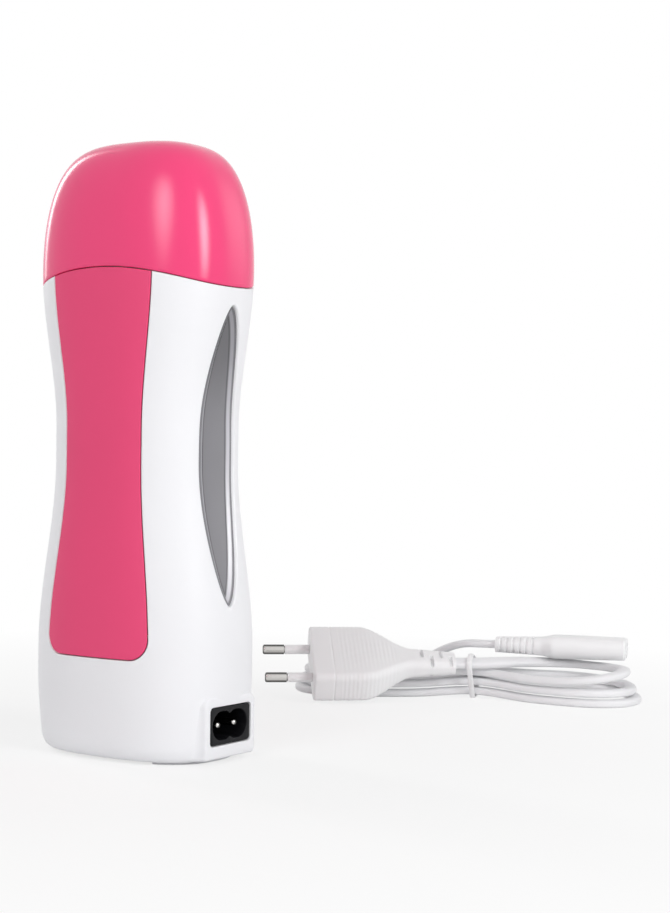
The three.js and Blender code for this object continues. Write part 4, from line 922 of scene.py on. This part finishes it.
def half_shell(lean_sign, notched):
    """Grid of one half: rows along the path, columns round the closed profile."""
    far_angle, far_z = foot_path(lean_sign, notched)
    near_paths = [corner_path(grow, BOTTOM_COUNT, CORNER_COUNT) for grow in profile_grow]
    near_x, near_z = np.stack(near_paths, axis=-1)
    q = profile_q[None, :]
    low_angle = angle_at_x(near_x, near_z) * (1 - q) + far_angle[:, None] * q
    low_z = near_z * (1 - q) + far_z[:, None] * q
    at_foot = far_z[:, None] <= SHELL_BOTTOM_Z + NEARLY_LEVEL
    low_inset = np.where((q == 1) & ~at_foot, 0, profile_inset[None, :])

    z = row_z[:, None] + 0 * q
    in_window = window_edge(row_z, WINDOW_EDGE)[:, None] > NEARLY_CLOSED
    for _ in range(LIFT_ROUNDS):
        near = angle_at_x(panel_edge(z, profile_grow[None, :]), z)
        far = angle_at_y(-far_edge(z, profile_far_grow[None, :], False), z, lean_sign)
        angle = near * (1 - q) + far * q
        lift = lift_share[:, None] * (parting_z(on_body(angle, z)[..., 0]) - PARTING_SIDE_Z)
        z = row_z[:, None] + lift
    side_inset = np.where((q == 1) & ~in_window, 0, profile_inset[None, :])
    side_inset = np.maximum(side_inset, row_inset[:, None])

    angle = np.concatenate([low_angle, angle])
    z = np.concatenate([low_z, z])
    inset = np.concatenate([low_inset, side_inset])
    outer = on_body(angle, z, inset, lean_sign=lean_sign)
    inner = on_body(angle, z, WALL, lean_sign=lean_sign)
    return np.concatenate([outer, inner[:, ::-1]], axis=1)


def end_cap(row, columns):
    """Faces that close the last row of a closed profile, between its outer and its inner columns."""
    low, high = row * columns, (row + 1) * columns - 1
    return [[low + j, low + j + 1, high - j - 1, high - j] for j in range(columns // 2 - 1)]


# %% [markdown]
# ## Pad round the inlet
# At the foot of the right side a square pad is moulded on the shells. It spreads into their surface with
# a hollow fillet, which draws back with the body's rounded foot, and has a small rounded edge at its
# face. Its profile runs from inside the wall over the fillet and the face and into the socket's pocket,
# and is carried round from the bottom to the top.

# %% One half of the pad
PAD_FACE_X, PAD_ROOT_X, PAD_HALF_WIDTH, PAD_TOP_Z = 36.8, 31.5, 13.0, 21.7
PAD_CORNER, PAD_FILLET, PAD_EDGE = 3.0, 3.0, 0.8
PAD_FOOT_CORNER, PAD_FACE_LIFT, PAD_BURIED, FILLET_POWER = 1.2, 0.9, 3, 2.4
SOCKET_HALF_WIDTH, SOCKET_HALF_HEIGHT, SOCKET_CORNER, SOCKET_Z = 10.4, 6.0, 1.2, 12.4
POCKET_DEPTH, POCKET_EDGE = 13.0, 0.25


def half_rectangle(half_width, low, high, low_radius, radius):
    """Half a rectangle with round corners, from the middle of its bottom to that of its top, in y and z."""
    shares = np.linspace(0, 1, 10, endpoint=False)
    turn = np.linspace(0, np.pi / 2, 8, endpoint=False)
    to_middle = np.append(shares, 1)
    stretches = [
        ((half_width - low_radius) * shares, low + 0 * shares),
        (half_width - low_radius * (1 - np.sin(turn)), low + low_radius * (1 - np.cos(turn))),
        (half_width + 0 * shares, low + low_radius + (high - radius - low - low_radius) * shares),
        (half_width - radius * (1 - np.cos(turn)), high - radius * (1 - np.sin(turn))),
        ((half_width - radius) * (1 - to_middle), high + 0 * to_middle),
    ]
    return np.concatenate(stretches, axis=1)


fillet_length = PAD_FACE_X - PAD_EDGE - PAD_ROOT_X
pad_stations = [
    (PAD_ROOT_X - PAD_BURIED, PAD_FILLET),
    *[(PAD_ROOT_X + fillet_length * t, PAD_FILLET * (1 - t) ** FILLET_POWER) for t in np.linspace(0, 1, 12)],
    *[(PAD_FACE_X - PAD_EDGE * below, -PAD_EDGE * beside) for beside, below in ROLL_STEPS[1:]],
]
pocket_stations = [
    *[(PAD_FACE_X - POCKET_EDGE * below, POCKET_EDGE * beside) for below, beside in ROLL_STEPS],
    (PAD_FACE_X - POCKET_DEPTH, 0),
]


def skin_x(z):
    """Where the body's skin lies next to the pad, at a height."""
    return on_body(angle_at_y(-PAD_HALF_WIDTH - PAD_FILLET, z, 1), z)[..., 0]


def half_pad():
    """Grid of one half of the pad: rows along the closed profile, columns from bottom to top."""
    rows = []
    for x, grow in pad_stations:
        share = np.clip((x - PAD_ROOT_X) / (PAD_FACE_X - PAD_ROOT_X), 0, 1)
        low = SHELL_BOTTOM_Z + max(-grow, 0) + PAD_FACE_LIFT * share
        radius = PAD_CORNER + max(grow, 0)
        y, z = half_rectangle(PAD_HALF_WIDTH + grow, low, PAD_TOP_Z + grow, PAD_FOOT_CORNER, radius)
        recess = skin_x(SOCKET_Z) - skin_x(np.minimum(z, SOCKET_Z))
        rows.append((x - (1 - share) * recess, (y, z)))
    for x, grow in pocket_stations:
        size = FIT_GAP + grow
        high, low = SOCKET_Z + SOCKET_HALF_HEIGHT + size, SOCKET_Z - SOCKET_HALF_HEIGHT - size
        corner = SOCKET_CORNER + size
        rows.append((x, half_rectangle(SOCKET_HALF_WIDTH + size, low, high, corner, corner)))
    return np.stack([np.stack([0 * y + x, -y, z], axis=-1) for x, (y, z) in rows])


# %% Front and rear shell
def shell_grids(front):
    """Both halves of a shell and its half of the pad, and the faces that close them."""
    lean_sign = 1 if front else -1
    right = half_shell(lean_sign, True)
    left = half_shell(lean_sign, False) * [-1, 1, 1]
    whole = np.concatenate([left[::-1], right])
    rows, columns = whole.shape[:2]
    first_cap = [face[::-1] for face in end_cap(0, columns)]
    faces = grid_faces(rows, columns, columns_close=True) + first_cap + end_cap(rows - 1, columns)
    pad = half_pad()
    pad_rows, pad_columns = pad.shape[:2]
    bottom_end = list(range(0, pad_rows * pad_columns, pad_columns))
    top_end = [i + pad_columns - 1 for i in bottom_end]
    pad_faces = grid_faces(pad_rows, pad_columns, rows_close=True) + [bottom_end, top_end[::-1]]
    mirror = [1, lean_sign, 1]
    return [(whole * mirror, faces), (pad * mirror, pad_faces)]


for name, front in (("front", True), ("rear", False)):
    grids = shell_grids(front)
    make_piece(f"{name}_moulding", grids, "heater", white_shell, f"{name}_shell")

# %% [markdown]
# ## Grip panels
# A panel is a thin shaped plate, a little below flush. Its rows run from the middle line to the outline,
# round the edge and back under it, and its columns follow the outline from the bottom to the arc.

# %% Grip panels
PANEL_SINK, PANEL_BACK, PANEL_EDGE = 0.15, 1.25, 0.35
LOW_COUNTS, SIDE_COUNT, TOP_COUNT = (12, 14), 70, 16
to_edge = np.sin(np.linspace(0, np.pi / 2, 30))[:-1]
panel_q = np.concatenate([to_edge, 0 * ROLL + 1, [1, 0]])
panel_shrink = PANEL_EDGE * np.concatenate([0 * to_edge + 1, ROLL_IN[::-1], [0, 0]])
panel_inset = np.concatenate(
    [0 * to_edge + PANEL_SINK, PANEL_SINK + PANEL_EDGE * ROLL_OUT[::-1], [PANEL_BACK, PANEL_BACK]]
)


def half_panel(lean_sign):
    """Grid of the right half of a panel, rows along the profile and columns along the outline."""
    low_shares = np.linspace(0, 1, sum(LOW_COUNTS), endpoint=False) ** 2
    side_shares = np.linspace(0, 1, SIDE_COUNT, endpoint=False)
    top_shares = np.linspace(0, 1, TOP_COUNT)
    rows = []
    for q, shrink, inset in zip(panel_q, panel_shrink, panel_inset):
        bottom_z, top_z = PANEL_BOTTOM_Z + shrink, parting_z(0) - shrink
        side_top_z = parting_z(panel_edge(PARTING_SIDE_Z)) - shrink
        low_x, low_z = corner_path(-shrink, *LOW_COUNTS)
        side_z = CORNER_TOP_Z + (side_top_z - CORNER_TOP_Z) * side_shares
        top_x = panel_edge(side_top_z, -shrink) * (1 - top_shares)
        x = np.concatenate([low_x, panel_edge(side_z, -shrink), top_x])
        z = np.concatenate([low_z, side_z, parting_z(top_x) - shrink])
        low_middle = bottom_z + (CORNER_TOP_Z - bottom_z) * low_shares
        top_middle = side_top_z + (top_z - side_top_z) * top_shares
        middle_z = np.concatenate([low_middle, side_z, top_middle])
        x, z = x * q, middle_z + (z - middle_z) * q
        rows.append(on_body(angle_at_x(x, z), z, inset, lean_sign=lean_sign))
    return np.stack(rows)


for name, lean_sign in (("front", 1), ("rear", -1)):
    right = half_panel(lean_sign) * [1, lean_sign, 1]
    faces = grid_faces(*right.shape[:2])
    halves = [(right, faces), (right * [-1, 1, 1], [face[::-1] for face in faces])]
    make_piece(f"{name}_grip", halves, "heater", pink_satin, f"{name}_grip_panel")

# %% [markdown]
# ## Windows
# A smoky lens closes each window, a millimetre below the skin. Inside its rim it steps down by another
# millimetre over a sloping side. Row by row from the lower tip to the upper one, its profile runs across
# the outer side, round the edge and back along the inner side.

# %% Windows
LENS_SINK, LENS_BACK_INSET, LENS_EDGE = 1.0, 3.5, 0.15
LENS_RIM, DISH_SIDE, DISH_DEPTH = 1.2, 1.5, 1.05
LENS_ROWS, FACE_COLUMNS, BACK_COLUMNS = 110, 90, 30
lens_rows = np.sin(np.linspace(-np.pi / 2, np.pi / 2, LENS_ROWS))
face_shares = np.sin(np.linspace(-np.pi / 2, np.pi / 2, FACE_COLUMNS))
across_share = np.concatenate([[-1], face_shares, [1], np.linspace(1, -1, BACK_COLUMNS)])
on_face = np.repeat([False, True, False], [1, FACE_COLUMNS, 1 + BACK_COLUMNS])
lens_inset = np.where(on_face, LENS_SINK, LENS_SINK + LENS_EDGE)
lens_inset[-BACK_COLUMNS:] = LENS_BACK_INSET
lens_shrink = FIT_GAP + LENS_EDGE * on_face


def lens_grid():
    """Grid of the right window's lens, with columns round its closed profile."""
    z = WINDOW_MIDDLE_Z + (WINDOW_HALF_HEIGHT - lens_shrink)[None, :] * lens_rows[:, None]
    edge = window_edge(z, -lens_shrink[None, :])
    y = across_share[None, :] * edge
    dish = DISH_DEPTH * on_face * np.clip((edge - np.abs(y) - LENS_RIM) / DISH_SIDE, 0, 1)
    half_width, half_depth, lean = section(z, lens_inset[None, :] + dish)
    x = half_width * (1 - np.abs((y - lean) / half_depth) ** (2 / BODY_POWER)) ** (BODY_POWER / 2)
    return np.stack([x, y, z], axis=-1)


lens = lens_grid()
lenses = [
    make_ringed(f"{name}_lens", grid, "heater", smoky_lens_with_painted_light, f"window_{name}")
    for name, grid in (("right", lens), ("left", lens * [-1, 1, 1]))
]

# %% [markdown]
# The lens gets painted light: a painted highlight on its sloping side, in place of a bright strip that the
# lamps don't reflect there, a painted dark line at the slope's foot, and painted shade towards the upper tip,
# next to the cap. All follow the outline, so they are stored on the mesh, as an attribute that the lens's
# material multiplies its colour by.

# %% Painted highlight on the lens's slope and painted shade at its top
SLOPE_PAINTED_HIGHLIGHT, SLOPE_MARGIN, SLOPE_SOFT = 1.5, 0.2, 0.4
FOOT_SHADE, FOOT_SHADE_WIDTH, FOOT_SHADE_SOFT = 0.45, 0.5, 0.3
TOP_PAINTED_SHADE, DARK_FROM_Z, DARK_TO_Z = 0.42, 108.0, 140.0
slope_end = LENS_RIM + DISH_SIDE
for piece in lenses:
    mesh = piece.data
    place = np.empty(len(mesh.vertices) * 3, np.float32)
    mesh.vertices.foreach_get("co", place)
    _, y, z = place.reshape(-1, 3).T / MM
    from_edge = window_edge(z, -FIT_GAP) - np.abs(y)
    painted_slope_highlight = between(from_edge, LENS_RIM + SLOPE_MARGIN, slope_end - SLOPE_MARGIN, SLOPE_SOFT)
    painted_foot_shade = between(from_edge, slope_end, slope_end + FOOT_SHADE_WIDTH, FOOT_SHADE_SOFT)
    painted_top_shade = TOP_PAINTED_SHADE * ease((z - DARK_FROM_Z) / (DARK_TO_Z - DARK_FROM_Z))
    # glow is painted light: the painted highlight on the slope, less the painted shade at its foot, times the
    # painted shade near the top.
    glow = (1 + SLOPE_PAINTED_HIGHLIGHT * painted_slope_highlight - FOOT_SHADE * painted_foot_shade) * (1 - painted_top_shade)
    mesh.attributes.new("glow", "FLOAT", "POINT").data.foreach_set("value", glow.astype(np.float32))

# The lens's colour is multiplied by its painted highlight and painted shade.
painted_light_attribute = add_node(smoky_lens_with_painted_light.node_tree, "Attribute")
painted_light_attribute.attribute_name = "glow"
scale_colour(smoky_lens_with_painted_light, painted_light_attribute.outputs["Fac"])
print("glow of the lens from", round(float(glow.min()), 2), "to", round(float(glow.max()), 2))

# %% [markdown]
# ## Cap
# The cap is a dome with a wall of nearly 2 mm. Its profile starts at the inner pole, runs down inside to
# the rim, round the rim's small edge, and up the outside to the outer pole. The rim follows the arc: its
# height at each angle is found by a few rounds of working out x from z and z from x.

# %% Cap
CAP_WALL, CAP_EDGE = 1.9, 0.5
CAP_COLUMNS, CAP_ROWS, CAP_SAMPLES, RIM_ROUNDS = 200, 110, 20000, 8
cap_angle = np.linspace(0, 2 * np.pi, CAP_COLUMNS, endpoint=False)[None, :]
rim_z = np.full_like(cap_angle, PARTING_SIDE_Z)
for _ in range(RIM_ROUNDS):
    rim_z = parting_z(on_body(cap_angle, rim_z)[..., 0]) + FIT_GAP
fine_climb = np.sin(np.linspace(0, np.pi / 2, CAP_SAMPLES))
fine_z = PARTING_SIDE_Z + (OVERALL_HEIGHT - PARTING_SIDE_Z) * fine_climb
fine_profile = np.stack([section(fine_z)[0], fine_z], axis=-1)
climb = np.interp(even_samples(fine_profile, CAP_ROWS), np.linspace(0, 1, CAP_SAMPLES), fine_climb)[:, None]


def dome_rows(low_z, inset, top):
    """Rows of the dome from a rim up to the pole, at even steps along its side."""
    z = low_z + (top - low_z) * climb
    return on_body(cap_angle + 0 * z, z, inset, top)


outside = dome_rows(rim_z + CAP_EDGE, 0.0, OVERALL_HEIGHT)
inside = dome_rows(rim_z + CAP_EDGE, CAP_WALL, OVERALL_HEIGHT - CAP_WALL)
rim_steps = CAP_EDGE * np.stack([ROLL_IN, ROLL_OUT])[:, ::-1, None]
rim = on_body(cap_angle, rim_z + rim_steps[1], rim_steps[0])
inner_rim = on_body(cap_angle, rim_z, CAP_WALL)
cap_grid = np.concatenate([inside[::-1], inner_rim, rim, outside[1:]])
make_ringed("cap_moulding", cap_grid, "cap", pink_gloss, "cap")

# %% [markdown]
# ## Collar
# Under the cap a white collar holds the mouth of the chamber. Its closed profile goes up the skirt,
# across the deck, down the mouth, and back under the deck. The skirt follows the body's section and the
# mouth is a rounder oblong, so each ring blends from one to the other. Its lower edge rises at the sides,
# clear of the windows.

# %% Collar
COLLAR_LOW_Z, COLLAR_TOP_Z, COLLAR_INSET, COLLAR_WALL, COLLAR_EDGE = 141.0, 171.0, 2.5, 1.6, 0.8
WINDOW_CLEARANCE, SIDE_HALF_DEPTH, SIDE_SOFT = 8.6, 12, 3
MOUTH_HALF_WIDTH, MOUTH_HALF_DEPTH, MOUTH_POWER = 24.3, 14.3, 0.5
MOUTH_LOW_Z, MOUTH_WALL, MOUTH_EDGE, DECK = 150.3, 1.5, 0.5, 2.0
collar_angle = np.linspace(0, 2 * np.pi, 144, endpoint=False)
side_depth = np.abs(on_body(collar_angle, COLLAR_LOW_Z)[:, 1])
skirt_low_z = COLLAR_LOW_Z + WINDOW_CLEARANCE * (1 - ease((side_depth - SIDE_HALF_DEPTH) / SIDE_SOFT))


def collar_ring(z, inset=0.0, blend=0.0, grow=0.0):
    """Ring between the body's section, where blend is 0, and the mouth's oblong, where it is 1."""
    z = z + 0 * collar_angle
    skirt = on_body(collar_angle, z, inset)
    mouth_x = (MOUTH_HALF_WIDTH + grow) * signed_power(np.cos(collar_angle), MOUTH_POWER)
    mouth_y = (MOUTH_HALF_DEPTH + grow) * signed_power(np.sin(collar_angle), MOUTH_POWER)
    return skirt * (1 - blend) + np.stack([mouth_x, mouth_y, z], axis=-1) * blend


skirt_inner, deck_z = COLLAR_INSET + COLLAR_WALL, COLLAR_TOP_Z - DECK
skirt_top_z, mouth_top_z = COLLAR_TOP_Z - COLLAR_EDGE, COLLAR_TOP_Z - MOUTH_EDGE
skirt = [collar_ring(z, COLLAR_INSET) for z in np.linspace(skirt_low_z, skirt_top_z, 20)]
skirt_edge = [
    collar_ring(COLLAR_TOP_Z - COLLAR_EDGE * below, COLLAR_INSET + COLLAR_EDGE * beside)
    for beside, below in ROLL_STEPS[1:]
]
deck = [
    collar_ring(COLLAR_TOP_Z, COLLAR_INSET + COLLAR_EDGE, blend, MOUTH_EDGE)
    for blend in np.linspace(0, 1, 14)[1:]
]
mouth_edge = [
    collar_ring(COLLAR_TOP_Z - MOUTH_EDGE * below, 0, 1, MOUTH_EDGE * beside)
    for below, beside in ROLL_STEPS[1:]
]
mouth = [collar_ring(z, 0, 1) for z in np.linspace(mouth_top_z, MOUTH_LOW_Z, 8)[1:]]
mouth_back = [collar_ring(z, 0, 1, MOUTH_WALL) for z in (MOUTH_LOW_Z, deck_z)]
deck_back = [collar_ring(deck_z, skirt_inner, blend, MOUTH_WALL) for blend in np.linspace(1, 0, 10)[1:]]
skirt_back = [collar_ring(skirt_low_z, skirt_inner)]
collar_grid = np.stack(
    [*skirt, *skirt_edge, *deck, *mouth_edge, *mouth, *mouth_back, *deck_back, *skirt_back]
)
make_ringed(
    "collar_moulding", collar_grid, "heater", white_shell, "collar", rows_close=True
)

# %% [markdown]
# ## Inlet socket
# The black socket is a rounded block with a recess of two joined lobes, in which the two pins stand. Each
# sample of the outline shrinks straight to the sample of the recess with the same bearing, and the recess
# goes down from there to its floor.

# %% Inlet socket
SOCKET_FACE_X, SOCKET_DEPTH, RECESS_DEPTH, RECESS_LOBE = 36.4, 15.0, 12.0, 4.65
SOCKET_EDGE, SOCKET_EDGE_SHARE, RECESS_EDGE, RECESS_EDGE_SHARE = 0.3, 0.03, 0.25, 0.04
PINCH_DEPTH, PINCH_HALF_WIDTH = 0.9, 1.2
socket_ring = rounded_rings(
    np.zeros(1), SOCKET_HALF_WIDTH, SOCKET_HALF_HEIGHT, SOCKET_CORNER, ring_samples(40, 8, 26)
)[0, :, 1:]
bearing = np.arctan2(socket_ring[:, 1], socket_ring[:, 0])
cosine, sine = np.cos(bearing), np.sin(bearing)
lobe = PIN_PITCH / 2
around_lobe = lobe * np.abs(cosine) + np.sqrt(RECESS_LOBE**2 - (lobe * sine) ** 2)
flat_side = RECESS_LOBE / np.maximum(np.abs(sine), TINY)
reach = np.where(np.abs(flat_side * cosine) < lobe, flat_side, around_lobe)
pinch = PINCH_DEPTH * np.exp(-((reach * cosine / PINCH_HALF_WIDTH) ** 2))
recess_ring = np.stack([reach * cosine, (reach - pinch) * sine], axis=-1)
socket_rows = [
    (0 * socket_ring, SOCKET_DEPTH),
    (socket_ring, SOCKET_DEPTH),
    *[(socket_ring * (1 - SOCKET_EDGE_SHARE * beside), SOCKET_EDGE * below) for beside, below in ROLL_STEPS],
    *[(recess_ring * (1 + RECESS_EDGE_SHARE * beside), RECESS_EDGE * below) for below, beside in ROLL_STEPS],
    (recess_ring, RECESS_DEPTH),
    (0 * recess_ring, RECESS_DEPTH),
]
socket_outlines = np.stack([outline for outline, _ in socket_rows])
socket_x = SOCKET_FACE_X - np.array([depth for _, depth in socket_rows])[:, None] + 0 * bearing
socket_grid = np.stack([socket_x, socket_outlines[..., 0], socket_outlines[..., 1] + SOCKET_Z], axis=-1)
make_ringed("inlet_block", socket_grid, "heater", black_plastic, "inlet_socket")

# %% [markdown]
# The inlet's pins end a millimetre inside the recess in a half round tip, so that only a small spot of
# each tip shines. They are turned solids, as the plug's pins are.

# %% Inlet pins
INLET_PIN_RADIUS, INLET_PIN_SINK, INLET_PIN_TAIL = 1.18, 1.0, 4.0
inlet_tip_x = SOCKET_FACE_X - INLET_PIN_SINK
inlet_tail_x = SOCKET_FACE_X - SOCKET_DEPTH - INLET_PIN_TAIL
inlet_profile = [
    (0, inlet_tail_x),
    (INLET_PIN_RADIUS, inlet_tail_x),
    *[(INLET_PIN_RADIUS * np.cos(a), inlet_tip_x - INLET_PIN_RADIUS * (1 - np.sin(a))) for a in tip[:-1]],
    (0, inlet_tip_x),
]
for name, side in (("front", -1), ("rear", 1)):
    pin = turned_solid(inlet_profile, side * PIN_PITCH / 2, SOCKET_Z)
    make_ringed(f"inlet_tip_{name}", pin, "heater", nickel_with_painted_sides, f"inlet_pin_{name}")

# %% [markdown]
# ## Pieces that keep their CAD shape
# The base cover, the screws, the heater's inner parts and the contacts have their true shape in the frame.
# Each only gets its finish.

# %% Finishes on the CAD pieces
cad_finishes = [
    (white_shell, ["base_cover"]),
    (zinc, ["base_screw_front", "base_screw_rear", "shell_screw_left", "shell_screw_right", "spring_clip"]),
    (drawn_aluminium, ["cartridge_sleeve"]),
    (grey_plastic, ["chamber_cradle"]),
    (fired_ceramic, ["heating_stone_lower", "heating_stone_upper"]),
    (nickel_with_painted_sides, ["contact_plate", "thermal_fuse", "connector_contact_near", "connector_contact_far"]),
    (amber_film, ["insulation_film"]),
    (red_wire, ["lead_live", "lead_fuse"]),
    (blue_wire, ["lead_neutral"]),
]
for material, nodes in cad_finishes:
    for node in nodes:
        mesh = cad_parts[node].data
        mesh.materials.clear()
        mesh.materials.append(material)
print("CAD pieces with a finish:", sum(len(nodes) for _, nodes in cad_finishes))

# %% [markdown]
# ## Floor and background
# Product pictures of this kind stand on white. The floor is a pale matt sheet that fades to the white
# background away from the object, so that no horizon shows, and keeps a soft shadow near it. Only rays
# that come from the camera, a gloss or a clear piece see that white: all others see the sheet itself.

# %% Floor and world
FLOOR_HALF, FADE_START, FADE_END, FADE_LEAST = 3.0, 0.1, 0.4, 0.7
SHEET, WHITE = (0.9, 0.9, 0.9, 1), (1, 1, 1, 1)
ROOM_STRENGTH = 0.395


def add_math(tree, operation, first, second):
    """Output of a math node that joins two outputs."""
    joined = add_node(tree, "Math")
    joined.operation = operation
    tree.links.new(first, joined.inputs[0])
    tree.links.new(second, joined.inputs[1])
    return joined.outputs[0]


def background_rays(tree):
    """1 for a ray from the camera, a mirror or a clear piece, else 0."""
    rays = add_node(tree, "LightPath").outputs
    seen = add_math(tree, "MAXIMUM", rays["Is Camera Ray"], rays["Is Glossy Ray"])
    return add_math(tree, "MAXIMUM", seen, rays["Is Transmission Ray"])


def mix_surface(tree, share, first, second, output):
    """Mix two shaders by a share, and give the mix to an output node."""
    blend = add_node(tree, "MixShader")
    tree.links.new(share, blend.inputs["Fac"])
    tree.links.new(first.outputs[0], blend.inputs[1])
    tree.links.new(second.outputs[0], blend.inputs[2])
    tree.links.new(blend.outputs[0], tree.nodes[output].inputs["Surface"])


paper = bpy.data.materials.new("pale floor")
paper.use_nodes = True
tree = paper.node_tree
sheet_shader = tree.nodes["Principled BSDF"]
set_inputs(sheet_shader, Base_Color=SHEET, Roughness=0.9, Specular_IOR_Level=0.1)
from_middle = add_node(tree, "VectorMath")
from_middle.operation = "LENGTH"
tree.links.new(add_node(tree, "TexCoord").outputs["Object"], from_middle.inputs[0])
fade = add_node(tree, "MapRange", From_Min=FADE_START, From_Max=FADE_END, To_Min=FADE_LEAST)
tree.links.new(from_middle.outputs["Value"], fade.inputs["Value"])
whiteness = add_math(tree, "MULTIPLY", fade.outputs["Result"], background_rays(tree))
mix_surface(tree, whiteness, sheet_shader, add_node(tree, "Emission", Strength=1), "Material Output")

floor_mesh = bpy.data.meshes.new("floor")
floor_corners = [(FLOOR_HALF * x, FLOOR_HALF * y, 0) for x, y in ((-1, -1), (1, -1), (1, 1), (-1, 1))]
floor_mesh.from_pydata(floor_corners, [], [(0, 1, 2, 3)])
floor_mesh.materials.append(paper)
floor = bpy.data.objects.new("floor", floor_mesh)
bpy.context.scene.collection.objects.link(floor)

world = bpy.data.worlds.new("studio")
bpy.context.scene.world = world
world.use_nodes = True
tree = world.node_tree
room = tree.nodes["Background"]
set_inputs(room, Color=WHITE, Strength=ROOM_STRENGTH)
backdrop = add_node(tree, "Background", Color=WHITE, Strength=1)
mix_surface(tree, background_rays(tree), room, backdrop, "World Output")
print("floor half size", FLOOR_HALF, "m, room strength", ROOM_STRENGTH)

# %% [markdown]
# ## Lamps
# The photograph shows its soft boxes as reflections on the cap: a bright upright one to the right of the
# camera, a wide pale one in front, and one far to the left that only catches the cap's edge. Each is an
# area lamp on a circle round the heater, turned to its middle. Behind the cloth of a real soft box the
# lamp glows strongest in the middle, so each one fades smoothly to its edge, which keeps its reflection
# soft on gloss.

# %% Lamps
LAMP_AIM = np.array([0.0, 0.0, 0.11])


def soft_box(name, azimuth, elevation, distance, width, height, glow):
    """An area lamp at an azimuth from the front towards the right, in degrees, facing the heater.

    Its power is pi times its area times the glow of its middle, where a glow of 1 looks white.
    """
    lamp = bpy.data.lights.new(name, "AREA")
    lamp.shape = "RECTANGLE"
    lamp.size, lamp.size_y, lamp.energy = width, height, np.pi * width * height * glow
    lamp.use_nodes = True
    tree = lamp.node_tree
    from_middle = add_node(tree, "VectorMath")
    from_middle.operation = "DISTANCE"
    from_middle.inputs[1].default_value = (0.5, 0.5, 0)
    fade = add_node(tree, "MapRange", From_Max=0.5, To_Min=1, To_Max=0)
    fade.interpolation_type = "SMOOTHSTEP"
    tree.links.new(add_node(tree, "NewGeometry").outputs["Parametric"], from_middle.inputs[0])
    tree.links.new(from_middle.outputs["Value"], fade.inputs["Value"])
    tree.links.new(fade.outputs["Result"], tree.nodes["Emission"].inputs["Strength"])
    holder = bpy.data.objects.new(name, lamp)
    a, e = np.radians(azimuth), np.radians(elevation)
    direction = np.array([np.sin(a) * np.cos(e), -np.cos(a) * np.cos(e), np.sin(e)])
    holder.location = LAMP_AIM + distance * direction
    holder.rotation_euler = (np.pi / 2 - e, 0, a)
    bpy.context.scene.collection.objects.link(holder)
    print(name, "at", [round(float(v), 2) for v in holder.location])


soft_box("bright box on the right", 83, 19, 1.1, 0.6, 1.0, 11.3)
soft_box("wide box in front", 9, 28, 1.3, 0.88, 1.25, 6.1)
soft_box("edge box on the left", -102, 26, 1.1, 0.25, 1.2, 10)
soft_box("box at the rear right", 145, 20, 1.2, 0.9, 1.1, 1.2)

# %% Colours as they are written
bpy.context.scene.view_settings.view_transform = "Standard"
